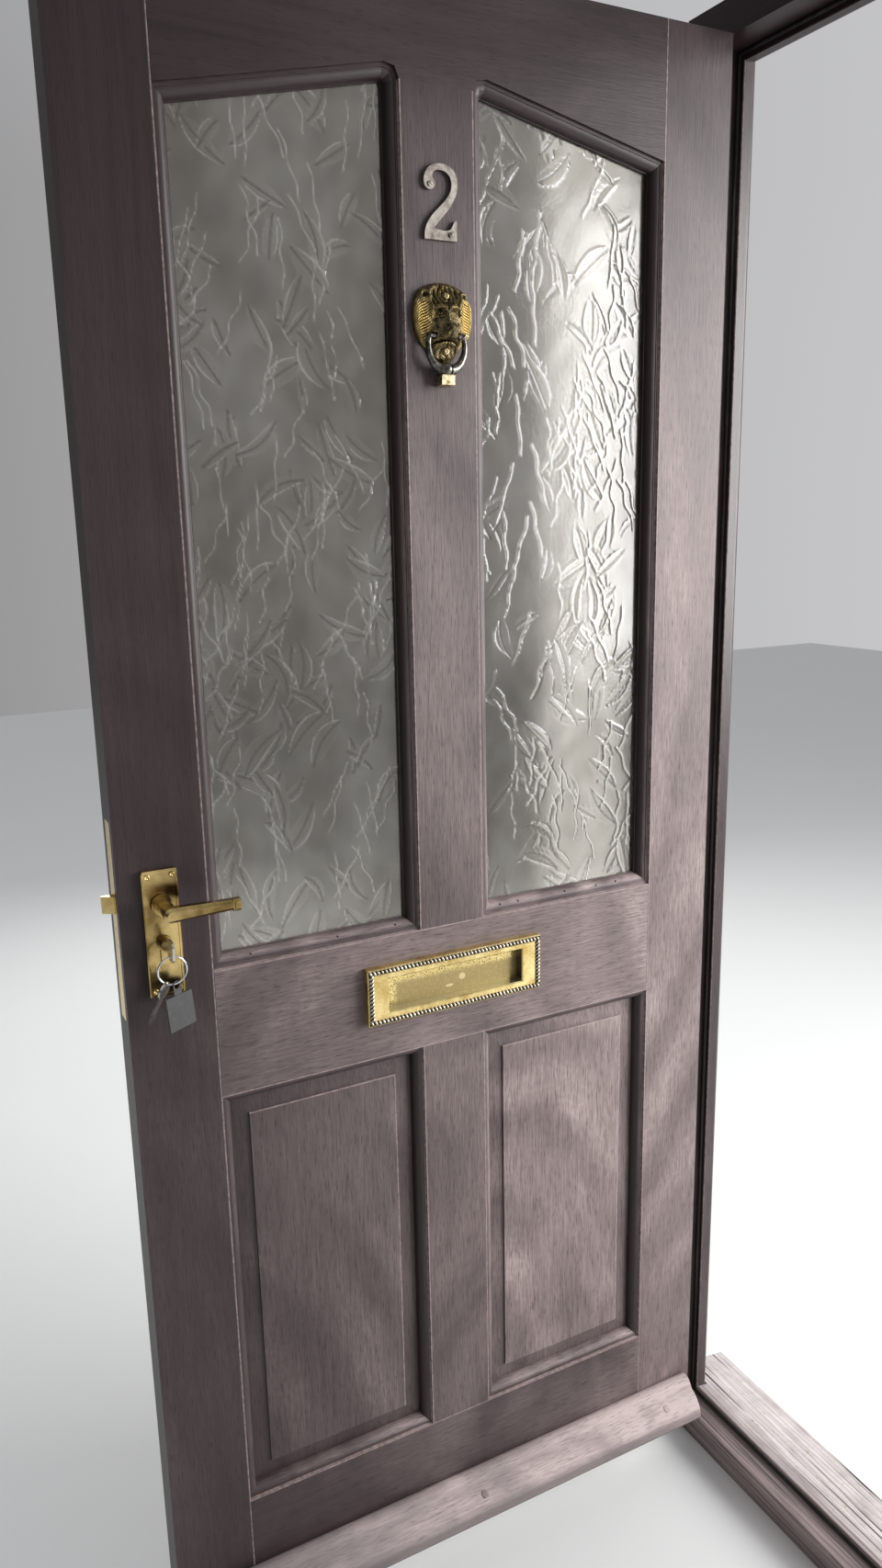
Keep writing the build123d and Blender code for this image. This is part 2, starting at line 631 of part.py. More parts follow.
def make_lock():
    u0, u1 = CASE_U
    z0, z1 = CASE_Z
    d0 = BOLT_D - CASE_T / 2
    d1 = BOLT_D + CASE_T / 2
    case = leaf_block(u0, u1, d0, d1, z0, z1)
    hollow = leaf_block(u0 + 2, u1 - 2, d0 + 1, d1 - 1, z0 + 2, z1 - 2)
    case = case - hollow
    latch = make_latch()
    dead = make_deadbolt()
    f = BOLT_FIT
    case = case - leaf_block(-1, u0 + 3, BOLT_D - LATCH_T / 2 - f, BOLT_D + LATCH_T / 2 + f,
                             SPINDLE_Z - LATCH_H / 2 - f, SPINDLE_Z + LATCH_H / 2 + f)
    case = case - leaf_block(-1, u0 + 3, BOLT_D - DEAD_T / 2 - f + 0.05, BOLT_D + DEAD_T / 2 + f - 0.05,
                             DEAD_Z - DEAD_H / 2 - f, DEAD_Z + DEAD_H / 2 + f)
    case = case - leaf_rod(HANDLE_U, SPINDLE_Z, NECK_R + 0.5, d0 - 1, d1 + 1)
    case = case - cylinder_shape(HANDLE_U, d1 + 1, CYLINDER_R, 0.2, CASE_T + 2)
    forend = leaf_block(0, u0, BOLT_D - 11, BOLT_D + 11, FOREND_Z[0], FOREND_Z[1])
    forend = forend - leaf_block(-1, u0 + 1, BOLT_D - LATCH_T / 2 - f, BOLT_D + LATCH_T / 2 + f,
                                 SPINDLE_Z - LATCH_H / 2 - f, SPINDLE_Z + LATCH_H / 2 + f)
    forend = forend - leaf_block(-1, u0 + 1, BOLT_D - DEAD_T / 2 - f, BOLT_D + DEAD_T / 2 + f,
                                 DEAD_Z - DEAD_H / 2 - f, DEAD_Z + DEAD_H / 2 + f)
    return {"lock_case": case, "lock_forend": forend, "latch_bolt": latch, "dead_bolt": dead,
            "follower": make_follower()}


def make_latch():
    z0 = SPINDLE_Z - LATCH_H / 2
    z1 = SPINDLE_Z + LATCH_H / 2
    d0 = BOLT_D - LATCH_T / 2
    d1 = BOLT_D + LATCH_T / 2
    head = leaf_block(-LATCH_OUT, 20, d0, d1, z0, z1)
    bevel = [leaf_point(u, d, SPINDLE_Z) for u, d in (
        (-LATCH_OUT - 1, d0 - 1), (-1, d0 - 1), (-1, d0), (-LATCH_OUT, d1 - 3), (-LATCH_OUT - 1, d1 - 3))]
    head = head - extrude(make_face(Polyline(*bevel, close=True)), LATCH_H, both=True)
    tail_d = BOLT_D - CASE_T / 2 + 1.3
    tail = leaf_block(19, 55, tail_d, tail_d + 2, SPINDLE_Z - 13.5, SPINDLE_Z + 13.5)
    tail = tail - leaf_block(24, 51.5, tail_d - 1, tail_d + 3, SPINDLE_Z - 6.4, SPINDLE_Z + 6.4)
    lug = leaf_block(50.2, 53, tail_d, BOLT_D + 3, SPINDLE_Z + 9, SPINDLE_Z + 13.5)
    return head + tail + lug


def make_deadbolt():
    z0 = DEAD_Z - DEAD_H / 2
    head = leaf_block(0, 33, BOLT_D - DEAD_T / 2, BOLT_D + DEAD_T / 2, z0, z0 + DEAD_H)
    return head - leaf_block(24, 34, BOLT_D - 5, BOLT_D + 5, z0 - 1, z0 + 12)


def make_follower():
    body = leaf_rod(HANDLE_U, SPINDLE_Z, NECK_R, BOLT_D - 3.5, BOLT_D + CASE_T / 2)
    arm = leaf_block(HANDLE_U - 3, HANDLE_U + 3, BOLT_D - 3.5, BOLT_D + 4, SPINDLE_Z, SPINDLE_Z + 13.5)
    return body + arm - spindle_block()


def spindle_block():
    s = SPINDLE / 2
    return leaf_block(HANDLE_U - s, HANDLE_U + s, -LEVER_IN - 6, LEAF_T + LEVER_IN + 6, SPINDLE_Z - s,
                      SPINDLE_Z + s)


def make_lever(inside):
    """Rose, round neck and a flat tapering blade that points toward the hinges."""
    neck = leaf_rod(HANDLE_U, SPINDLE_Z, NECK_R, -LEVER_IN - 2, -0.5)
    rose = leaf_rod(HANDLE_U, SPINDLE_Z, ROSE_R, -PLATE_T - FACE_GAP - ROSE_T, -PLATE_T - FACE_GAP)
    rose = rose + leaf_rod(HANDLE_U, SPINDLE_Z, NECK_R + 2, -PLATE_T - FACE_GAP - ROSE_T - 2.5, -PLATE_T - 2)
    collar = (LEVER_IN + PLATE_T + ROSE_T) / 2
    rose = rose + leaf_rod(HANDLE_U, SPINDLE_Z, NECK_R + 1.2, -collar - 1.2, -collar + 1.2)
    plane = leaf_plane(HANDLE_U, -LEVER_IN, SPINDLE_Z)
    reach = LEVER_TIP - HANDLE_U
    outline = [(0, 8.5), (reach - 9, 6.6), (reach - 9, -5.4), (0, -8.5), ((-8.5, 0), (0, 8.5))]
    blade = extrude(outline_face(plane, outline), LEVER_OUT - LEVER_IN)
    top = blade.edges().group_by(Axis.Y)[0].filter_by(lambda e: e.length > 40)
    blade = chamfer(top, 3.5)
    tip = leaf_block(LEVER_TIP - 9, LEVER_TIP, -LEVER_OUT - 0.5, -LEVER_IN + 0.5, SPINDLE_Z - 6.4,
                     SPINDLE_Z + 7.4)
    tip = chamfer(tip.edges().filter_by(Axis.X), 2.5)
    notch = leaf_block(LEVER_TIP - 9, LEVER_TIP - 6.5, -LEVER_OUT - 1, -LEVER_OUT + 0.8, SPINDLE_Z - 30,
                       SPINDLE_Z + 30)
    lever = neck + rose + blade + (tip - notch) - spindle_block()
    return across(lever) if inside else lever


def across(shape):
    """The same piece on the leaf's room side."""
    mid = Plane(origin=(0, LEAF_OUT_Y + LEAF_T / 2, 0), z_dir=(0, 1, 0))
    return mirror(shape, about=mid)


def make_backplate(inside):
    plane = leaf_plane(HANDLE_U, 0, PLATE_Z)
    body = extrude(plane * RectangleRounded(PLATE_W, PLATE_H, 3), PLATE_T)
    body = chamfer(body.faces().sort_by(Axis.Y)[0].outer_wire().edges(), 1.2)
    inner = leaf_plane(HANDLE_U, -PLATE_T + 1.6, PLATE_Z)
    body = body - extrude(inner * RectangleRounded(PLATE_W - 6, PLATE_H - 6, 2), 5)
    body = body - leaf_rod(HANDLE_U, SPINDLE_Z, NECK_R + NECK_FIT, -PLATE_T - 1, 1)
    body = body - cylinder_shape(HANDLE_U, 1, CYLINDER_R, 0.3, PLATE_T + 3)
    for u, z in plate_screws():
        body = body - leaf_rod(u, z, 1.6, -PLATE_T - 1, 1)
    return across(body) if inside else body


def plate_screws():
    across_u, up = PLATE_SCREW_PITCH
    return [(HANDLE_U + su * across_u / 2, PLATE_Z + sz * up / 2) for su in (-1, 1) for sz in (-1, 1)]


def make_plate_screws(inside):
    screws = []
    face = -PLATE_T + 1.6
    for u, z in plate_screws():
        screws.append(leaf_rod(u, z, 1.6, face - 0.5, 12) + leaf_rod(u, z, 2.9, face - 1.4, face))
    group = Compound(screws)
    return across(group) if inside else group


def make_cylinder():
    """Profile cylinder through the leaf, with its plug, cam and key as one turning piece."""
    out = PLATE_T + 2
    body = cylinder_shape(HANDLE_U, LEAF_T + out, CYLINDER_R, 0, LEAF_T + 2 * out)
    body = body - leaf_rod(HANDLE_U, CYLINDER_Z, PLUG_R + PLUG_FIT, -out - 1, LEAF_T + out + 1)
    body = body - leaf_block(HANDLE_U - 14, HANDLE_U + 14, BOLT_D - 5.2, BOLT_D + 5.2, CYLINDER_Z - 14.5,
                             CYLINDER_Z + 14.5)
    plug = leaf_rod(HANDLE_U, CYLINDER_Z, PLUG_R, -out - 0.3, LEAF_T + out + 0.3)
    for back in (0, 3.5, 7):
        plug = plug + leaf_rod(HANDLE_U, CYLINDER_Z, PLUG_R - 0.9, back - NOSE_N, 0)
        plug = plug + leaf_rod(HANDLE_U, CYLINDER_Z, PLUG_R, back - NOSE_N + 1, back - NOSE_N + 3)
    cam = leaf_block(HANDLE_U - 3.5, HANDLE_U + 3.5, BOLT_D - 4.8, BOLT_D + 4.8, CYLINDER_Z - 13.5,
                     CYLINDER_Z)
    plug = plug + cam
    way = leaf_block(HANDLE_U - 1.3, HANDLE_U + 1.3, -NOSE_N - 2, 2, CYLINDER_Z - 4.6, CYLINDER_Z + 4.6)
    return body, plug - way


def make_key():
    """The blade fills the keyway and the round bow stands upright outside."""
    blade = leaf_block(HANDLE_U - 1.2, HANDLE_U + 1.2, -BOW_N, 1.5, CYLINDER_Z - 4.4, CYLINDER_Z + 4.4)
    blade = blade - leaf_rod(HANDLE_U, CYLINDER_Z - BOW_DROP, 6, -BOW_N - 3, -BOW_N + 6)
    plane = Plane(origin=leaf_point(HANDLE_U - 1.2, -BOW_N, CYLINDER_Z), x_dir=(0, 1, 0), z_dir=(1, 0, 0))
    bow = extrude(plane * (RectangleRounded(24, 25, 7) - Pos(0, -BOW_DROP) * Circle(2.3)), 2.4)
    return bow + blade


def ring_centre():
    return leaf_point(HANDLE_U, -BOW_N, CYLINDER_Z - BOW_DROP - RING_REST - RING_R)


def make_ring():
    plane = Plane(origin=ring_centre(), x_dir=(1, 0, 0), z_dir=(0, -1, 0))
    return plane * Torus(RING_R, RING_WIRE)


def hanging_plane(angle, lean, rest, plumb=False):
    """A plane on the ring's wire, angle round from its lowest point, leaning back from the wire's line."""
    a = math.radians(angle)
    b = math.radians(lean)
    along = Vector(math.cos(a), 0, math.sin(a))
    up = Vector(-math.sin(a), 0, math.cos(a))
    normal = along * math.cos(b) + Vector(0, -1, 0) * math.sin(b)
    wire = ring_centre() - up * RING_R
    if plumb:
        up = (Vector(0, 0, 1) - normal * normal.Z).normalized()
    return Plane(origin=wire - up * rest, x_dir=up.cross(normal), z_dir=normal)


def make_spare_key():
    """A flat cylinder key with a round bow and a notched blade, hole at the origin."""
    shape = Pos(0, -6.5) * Circle(10.5) + Pos(0, -31) * Rectangle(8.6, 34)
    for i, deep in enumerate((1.6, 2.4, 1.2, 2.2, 1.5, 2.0)):
        shape = shape - Pos(4.6, -24 - 4.1 * i) * Rotation(0, 0, 45) * Rectangle(deep * 1.5, deep * 1.5)
    shape = shape - Circle(3)
    plane = hanging_plane(SPARE_ANGLE, SPARE_LEAN, 1.3)
    return extrude(plane * shape, 1.1, both=True)


def make_tag():
    """A square tag with its corners eased and a metal tab that hangs on the ring."""
    plane = hanging_plane(TAG_ANGLE, TAG_LEAN, 2, True)
    plate = Pos(0, -11 - TAG_SIDE / 2) * RectangleRounded(TAG_SIDE, TAG_SIDE, 2)
    tab = Pos(0, -6) * RectangleRounded(11.4, 22, 5.6) - Circle(4.2)
    return extrude(plane * plate, 1.25, both=True) + extrude(plane * tab, 0.5, both=True)


# Letter plate: flat frame, twisted rope border, bevelled aperture and a top-hung flap
def rope_bar(length):
    """One side of the rope, x along it and z up: a faceted bar with slanting grooves between its strands."""
    r = ROPE_R
    half = [(r, 0), (r * 0.78, r * 0.62), (r * 0.3, r * 0.95)]
    section = half + [(-x, z) for x, z in reversed(half)]
    bar = extrude(Plane.YZ * make_face(Polyline(*section, close=True)), length / 2, both=True)
    bar = bar + Pos(0, 0, -ROPE_SUNK / 2) * Box(length, 2 * r, ROPE_SUNK)
    count = round(length / ROPE_PITCH)
    pitch = length / count
    cutters = []
    for i in range(count + 1):
        wedge = make_face(Polyline((-0.95, r + 0.2), (0, r - 1.9), (0.95, r + 0.2), close=True))
        cutter = extrude(Plane.XZ * wedge, 9, both=True)
        cutters.append(Pos(-length / 2 + i * pitch, 0, 0) * Rotation(0, 0, -52) * cutter)
    return bar - cutters


def around_slot(more):
    """A rectangle this much larger all round than the letter plate's aperture."""
    return Rectangle(SLOT_W + 2 * more, SLOT_H + 2 * more)


def make_letter_plate():
    """A hollow-backed casting: outer wall, front, aperture wall that enters the rail, and bolt bosses."""
    plane = leaf_plane(MID_U, 0, LETTER_Z)
    front = leaf_plane(MID_U, -LETTER_T, LETTER_Z)
    body = extrude(plane * RectangleRounded(LETTER_W, LETTER_H, 2), LETTER_T)
    body = chamfer(body.faces().sort_by(Axis.Y)[0].outer_wire().edges(), 1)
    cavity = RectangleRounded(LETTER_W - 6, LETTER_H - 6, 1) - around_slot(LETTER_WALL)
    body = body - extrude(plane * cavity, LETTER_T - 4)
    sunk = leaf_plane(MID_U, LETTER_SUNK, LETTER_Z)
    body = body + extrude(sunk * (around_slot(LETTER_WALL) - around_slot(0)), LETTER_SUNK + 1)
    inset = ROPE_R + 1.1
    down = ROPE_SUNK - 0.2
    for sign in (1, -1):
        upright = Rotation(0, 0, 90) * rope_bar(LETTER_H - 4 * ROPE_R)
        body = body + front * (Pos(0, sign * (LETTER_H / 2 - inset), -down) * rope_bar(LETTER_W - 2.4))
        body = body + front * (Pos(sign * (LETTER_W / 2 - inset), 0, -down) * upright)
    inside = leaf_plane(MID_U, 1.6 - LETTER_T, LETTER_Z)
    body = body - loft([front * around_slot(1.4), inside * around_slot(0)])
    body = body - extrude(leaf_plane(MID_U, LETTER_SUNK + 1, LETTER_Z) * around_slot(0), 2 * LETTER_T)
    u = SLOT_W / 2 + LETTER_WALL
    lugs = [leaf_block(mid - 1.2, mid + 1.2, -1, FLAP_PIN_D + 3, LETTER_Z + SLOT_H / 2 - 1, FLAP_PIN_Z + 3.2)
            for mid in (MID_U - u - 1.2, MID_U + u + 1.2)]
    bosses = [leaf_rod(MID_U + s * LETTER_BOLT_U, LETTER_Z, 4, -LETTER_T + 1, 0) for s in (-1, 1)]
    body = fused([body] + lugs + bosses)
    for s in (-1, 1):
        body = body - leaf_rod(MID_U + s * LETTER_BOLT_U, LETTER_Z, 2, -LETTER_T + 4, 1)
    return body - long_rod(MID_U - u - 5, MID_U + u + 5, FLAP_PIN_D, FLAP_PIN_Z, 1.2)


def make_letter_bolts():
    """Two bolts from the room side into the casting's bosses, with their cup heads."""
    bolts = []
    for s in (-1, 1):
        u = MID_U + s * LETTER_BOLT_U
        shank = leaf_rod(u, LETTER_Z, 2, -LETTER_T + 4.5, LEAF_T + 1)
        bolts.append(shank + leaf_rod(u, LETTER_Z, 5, LEAF_T, LEAF_T + 2))
    return Compound(bolts)


def make_flap():
    """Shuts on the aperture wall's end, inside the rail, and hangs from its barrel."""
    u0 = MID_U - SLOT_W / 2 - FLAP_LAP
    u1 = MID_U + SLOT_W / 2 + FLAP_LAP
    d0 = LETTER_SUNK + 0.2
    plate = leaf_block(u0, u1, d0, d0 + FLAP_T, LETTER_Z - SLOT_H / 2 - FLAP_LAP, FLAP_PIN_Z)
    barrel = long_rod(u0, u1, FLAP_PIN_D, FLAP_PIN_Z, 2.5)
    return plate + barrel - long_rod(u0 - 1, u1 + 1, FLAP_PIN_D, FLAP_PIN_Z, 1.25)


def flap_pin():
    u = SLOT_W / 2 + LETTER_WALL + 2.4
    return long_rod(MID_U - u, MID_U + u, FLAP_PIN_D, FLAP_PIN_Z, 1.2)


# Lion's head knocker and the house number
def ellipsoid(u, n, z, ru, rn, rz):
    """An ellipsoid centred n in front of the leaf's outer face."""
    c = leaf_point(MID_U + u, -n, z)
    return Pos(c.X, c.Y, c.Z) * scale(Sphere(1), by=(ru, rn, rz))


def mane_lock(u0, z0, u1, z1, width, high):
    """One lock of hair: a tapering ridge from (u0, z0) to (u1, z1)."""
    length = math.hypot(u1 - u0, z1 - z0)
    angle = math.degrees(math.atan2(z1 - z0, u1 - u0))
    w = width / 2
    plane = leaf_plane(MID_U + u0, -KNOCKER_T + 0.5, z0) * Rotation(0, 0, angle)
    foot = Polyline((0, -w), (0, w), (length, w * 0.3), (length, -w * 0.3), close=True)
    a = length * 0.15
    b = length * 0.8
    crest = Polyline((a, -w * 0.15), (a, w * 0.15), (b, w * 0.1), (b, -w * 0.1), close=True)
    return loft([plane * make_face(foot), plane * Pos(0, 0, high) * make_face(crest)])


# Heights below are from the striker's pivots at the mouth
FORELOCKS = ((2, 57, 8, 38), (8, 57, 14, 40), (14, 56, 19, 42), (20, 54, 23, 44))
MANE_ROWS = 10
PLATE_EDGE = (
    (0, 58.5), (10, 57.5), (20, 54.5), (29, 48.5), (35, 39), (37.5, 27), (36.8, 14), (33.5, 2),
    (29, -7), (22, -12.5), (17, -20), (10, -26), (0, -28),
)


def side_mane():
    """Fine locks down both sides, each from high beside the cheek to low at the rim."""
    locks = []
    for i in range(MANE_ROWS):
        t = i / (MANE_ROWS - 1)
        z = 40 - 36 * t
        rim = 37 * math.sqrt(max(0.2, 1 - ((z - 20) / 45) ** 2))
        for side in (-1, 1):
            low = STRIKER_Z + z - 3.5
            locks.append(mane_lock(side * (rim - 14), low + 7, side * rim, low, 5, 8))
    return locks


def make_knocker():
    plane = leaf_plane(MID_U, 0, STRIKER_Z)
    right = list(PLATE_EDGE)
    left = [(-u, z) for u, z in reversed(right[1:-1])]
    body = extrude(plane * make_face(Polyline(*(right + left), close=True)), KNOCKER_T)
    forms = [(0, KNOCKER_T, 19, 23, 14, 28), (0, 9, 14, 8.5, 15, 17), (0, 20, 5, 6.5, 6, 5),
             (0, 4, -13, 11, 6.5, 13)]
    for side in (-1, 1):
        forms.append((side * 8, 13.5, 0, 9.5, 9, 6.5))
        forms.append((side * 10.5, 13, 30, 8, 6, 4.5))
        forms.append((side * 9.5, 14, 23.5, 3.6, 4, 2.6))
        forms.append((side * 25, 6, 44, 6.5, 6, 7.5))
        forms.append((side * 16, 8, 12, 7, 7, 12))
    body = fused([body] + [ellipsoid(u, n, STRIKER_Z + z, ru, rn, rz) for u, n, z, ru, rn, rz in forms])
    locks = side_mane()
    for u0, z0, u1, z1 in FORELOCKS:
        for side in (-1, 1):
            locks.append(mane_lock(side * u0, STRIKER_Z + z0, side * u1, STRIKER_Z + z1, 6, 11))
    body = fused([body] + locks)
    body = body - leaf_block(MID_U - 60, MID_U + 60, 0, 60, STRIKER_Z - 60, STRIKER_Z + 80)
    for side in (-1, 1):
        a = MID_U + side * 13
        b = MID_U + side * 30
        body = body - long_rod(min(a, b), max(a, b), -STRIKER_N, STRIKER_Z, 2.56)
        c = leaf_point(MID_U + side * 21.5, -STRIKER_N, STRIKER_Z)
        body = body - Pos(c.X, c.Y, c.Z) * Sphere(5)
    for z, n in KNOCKER_SCREWS:
        body = body - leaf_rod(MID_U, z, 1.6, -40, 1) - leaf_rod(MID_U, z, 3.8, -40, -n)
    return body


def make_striker():
    """A stirrup hung at the corners of the mouth: arms that thicken to a ball, and a foot that strikes."""
    body = ellipsoid(0, STRIKER_N, STRIKER_Z - 35.5, 7, 7, 7.6)
    for side in (-1, 1):
        pts = [(21.5, 0), (23.5, -11), (20.5, -24), (13.5, -33), (5, -36)]
        wire = Spline(*[leaf_point(MID_U + side * u, -STRIKER_N, STRIKER_Z + z) for u, z in pts])
        sizes = ((0, 2.8), (0.5, 4), (1, 6.2))
        rings = [Plane(origin=wire @ t, z_dir=wire % t) * Circle(r) for t, r in sizes]
        body = body + sweep(rings, path=wire, multisection=True)
        a = MID_U + side * 15
        b = MID_U + side * 22
        body = body + long_rod(min(a, b), max(a, b), -STRIKER_N, STRIKER_Z, 2.5)
        c = leaf_point(MID_U + side * 21.5, -STRIKER_N, STRIKER_Z)
        body = body + Pos(c.X, c.Y, c.Z) * Sphere(4)
    side_view = ((0.4, -41), (STRIKER_N, -39), (STRIKER_N + 4, -42), (STRIKER_N + 3, -53), (0.4, -54))
    foot = [leaf_point(MID_U, -n, STRIKER_Z + z) for n, z in side_view]
    return body + extrude(make_face(Polyline(*foot, close=True)), 8.5, both=True)


def make_numeral():
    """The house number, drawn from its lower left corner."""
    p = leaf_plane(NUMERAL_U, 0, NUMERAL_Z)
    edges = [
        Spline((0.6, 6.5), (4, 16.5), (11, 26), (20, 34.5), (28.5, 43), (34, 51), (35.6, 59), (34, 65.5),
               (29, 70.5), (21.5, 72.2), (14.5, 70.6), (11.4, 66.2), (12.6, 62.8)),
        ThreePointArc((12.6, 62.8), (13.6, 54.6), (6, 51.6)),
        Spline((6, 51.6), (1.4, 55.6), (0.6, 61.5), (3.2, 69.5), (10.5, 76.3), (21, 78.8), (32.5, 77),
               (40.6, 70.2), (43.2, 60), (42, 51), (37, 40.5), (29, 30), (20, 20.5), (12.5, 12)),
        Spline((12.5, 12), (20, 10.4), (28, 10.3), (34, 12.5), (38.6, 20), (41.6, 21.7)),
        Line((41.6, 21.7), (41.6, 0)),
        Line((41.6, 0), (0.6, 0)),
        Line((0.6, 0), (0.6, 6.5)),
    ]
    body = extrude(p * make_face(edges), NUMERAL_T)
    for u, z in NUMERAL_SCREWS:
        body = body - leaf_rod(NUMERAL_U + u, NUMERAL_Z + z, 1.4, -NUMERAL_T - 1, 1)
    return body


NUMERAL_SCREWS = ((8, 57), (33.5, 6))


def small_screws(places, r, head_r, proud, face):
    """Round-head screws at (u, z) whose heads rest on the given face."""
    found = []
    for u, z in places:
        found.append(leaf_rod(u, z, r, -face - proud / 2, 12) + leaf_rod(u, z, head_r, -face - proud, -face))
    return Compound(found)


def opened(shape):
    """Turn a piece from the shut leaf to the open one."""
    return shape.rotate(Axis((PIVOT_X, PIVOT_Y, 0), (0, 0, 1)), -90)


def build_frame():
    hinge_jamb = make_jamb(1)
    lock_jamb = make_jamb(-1)
    sill = make_sill((hinge_jamb, lock_jamb))
    keep, holes = make_keep()
    lock_jamb = lock_jamb - keep - keep_holes(26)
    hinges = [hinge_parts(z) for z in HINGE_Z]
    for z in HINGE_Z:
        hinge_jamb = hinge_jamb - hinge_recess(z, 1)
    save("hinge_jamb", hinge_jamb)
    save("lock_jamb", lock_jamb)
    save("frame_head", make_head())
    save("sill", sill)
    for name, seal in make_seals().items():
        save(name, seal)
    save("keep_plate", keep - holes)
    save("hinge_frame_leaves", Compound([h[0] for h in hinges]))
    save("hinge_pins", Compound([h[2] for h in hinges]))
    save("hinge_door_leaves", opened(Compound([h[1] for h in hinges])))


def build_leaf():
    members = make_timber()
    lock = make_lock()
    body, plug = make_cylinder()
    f = 0.3
    cuts = [
        leaf_block(-1, CASE_U[1] + f, BOLT_D - CASE_T / 2 - f, BOLT_D + CASE_T / 2 + f, CASE_Z[0] - f,
                   CASE_Z[1] + f),
        leaf_block(-1, CASE_U[0], BOLT_D - 11, BOLT_D + 11, FOREND_Z[0], FOREND_Z[1]),
        leaf_rod(HANDLE_U, SPINDLE_Z, NECK_R + 1, -1, LEAF_T + 1),
        cylinder_shape(HANDLE_U, LEAF_T + 1, CYLINDER_R, 0.5, LEAF_T + 2),
    ]
    for u, z in plate_screws():
        cuts.append(leaf_rod(u, z, 1.6, -1, 12))
        cuts.append(leaf_rod(u, z, 1.6, LEAF_T - 12, LEAF_T + 1))
    for cut in cuts:
        members["lock_stile"] = members["lock_stile"] - cut
    for z in HINGE_Z:
        members["hinge_stile"] = members["hinge_stile"] - hinge_recess(z, -1)
    u = SLOT_W / 2 + 6
    slot = leaf_block(MID_U - u, MID_U + u, -1, LEAF_T + 1, LETTER_Z - SLOT_H / 2 - 4, FLAP_PIN_Z + 4.5)
    bolt_holes = [leaf_rod(MID_U + s * LETTER_BOLT_U, LETTER_Z, 2, -1, LEAF_T + 1) for s in (-1, 1)]
    for cut in [slot] + bolt_holes:
        members["lock_rail"] = members["lock_rail"] - cut
    screw_holes = [leaf_rod(MID_U, z, 1.6, -1, 12) for z, n in KNOCKER_SCREWS]
    screw_holes += [leaf_rod(NUMERAL_U + u, NUMERAL_Z + z, 1.4, -1, 12) for u, z in NUMERAL_SCREWS]
    for cut in screw_holes:
        members["upper_muntin"] = members["upper_muntin"] - cut
    pieces = dict(members)
    pieces.update(lock)
    pieces["cylinder_body"] = body
    pieces["cylinder_plug"] = plug
    pieces["key"] = make_key()
    pieces["split_ring"] = make_ring()
    pieces["spare_key"] = make_spare_key()
    pieces["key_tag"] = make_tag()
    pieces["left_panel"] = make_panel(0)
    pieces["right_panel"] = make_panel(1)
    pane = left_pane_points()
    pieces["left_glass"] = make_glass(pane)
    pieces["right_glass"] = make_glass(mirrored(pane))
    sides = {"bottom": [0], "inner": [1], "top": [2, 3, 4], "outer": [5]}
    pieces.update(make_beads(pane, {f"left_bead_{k}": v for k, v in sides.items()}))
    flipped = {k: [(10 - i) % 6 for i in v] for k, v in sides.items()}
    pieces.update(make_beads(mirrored(pane), {f"right_bead_{k}": v for k, v in flipped.items()}))
    pieces["weatherboard"] = make_weatherboard()
    pieces["outer_backplate"] = make_backplate(False)
    pieces["inner_backplate"] = make_backplate(True)
    pieces["outer_plate_screws"] = make_plate_screws(False)
    pieces["inner_plate_screws"] = make_plate_screws(True)
    pieces["outer_lever"] = make_lever(False)
    pieces["inner_lever"] = make_lever(True)
    pieces["spindle"] = spindle_block()
    pieces["letter_plate"] = make_letter_plate()
    pieces["letter_bolts"] = make_letter_bolts()
    pieces["letter_flap"] = make_flap()
    pieces["flap_pin"] = flap_pin()
    pieces["knocker_plate"] = make_knocker()
    pieces["knocker_striker"] = make_striker()
    pieces["knocker_screws"] = Compound([
        leaf_rod(MID_U, z, 1.6, -n - 0.7, 12) + leaf_rod(MID_U, z, 3.5, -n - 1.6, -n)
        for z, n in KNOCKER_SCREWS])
    pieces["numeral"] = make_numeral()
    pieces["numeral_screws"] = small_screws(
        [(NUMERAL_U + u, NUMERAL_Z + z) for u, z in NUMERAL_SCREWS], 1.4, 2.8, 1.3, NUMERAL_T)
    for name, shape in pieces.items():
        save(name, opened(shape))


build_frame()
build_leaf()
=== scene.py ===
import math

import bmesh
import bpy
import numpy as np
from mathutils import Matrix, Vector


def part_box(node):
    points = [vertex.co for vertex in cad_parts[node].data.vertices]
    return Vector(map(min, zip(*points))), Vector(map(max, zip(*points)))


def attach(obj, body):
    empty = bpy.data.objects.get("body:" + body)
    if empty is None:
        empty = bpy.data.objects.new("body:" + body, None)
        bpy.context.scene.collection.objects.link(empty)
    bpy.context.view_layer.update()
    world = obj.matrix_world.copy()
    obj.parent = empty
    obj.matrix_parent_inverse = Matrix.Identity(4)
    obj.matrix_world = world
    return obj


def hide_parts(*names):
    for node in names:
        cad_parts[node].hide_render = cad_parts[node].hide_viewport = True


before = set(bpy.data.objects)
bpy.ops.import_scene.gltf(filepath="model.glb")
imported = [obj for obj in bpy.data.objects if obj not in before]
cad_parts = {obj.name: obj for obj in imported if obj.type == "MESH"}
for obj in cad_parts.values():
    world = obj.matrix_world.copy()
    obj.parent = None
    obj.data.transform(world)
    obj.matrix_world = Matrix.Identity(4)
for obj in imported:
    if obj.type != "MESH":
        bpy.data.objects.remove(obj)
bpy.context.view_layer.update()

# The frame: two rebated jambs and a head, planed hardwood brushed with dark purple-brown woodstain.
# The head is tenoned on the jambs, and the jambs stand beside the sill.
# Under the stain the grain runs the length of each piece, open enough to catch the light.
ALONG_X, ALONG_Y, ALONG_Z = 0, 1, 2
STAIN_DARK = (0.0120, 0.0062, 0.0075, 1)
STAIN_MID = (0.036, 0.021, 0.023, 1)
STAIN_CHALK = (0.460, 0.365, 0.352, 1)
RUBBED_AND_LIT_EDGE = (0.46, 0.36, 0.34, 1)
OPEN_JOINT = (0.006, 0.004, 0.004, 1)
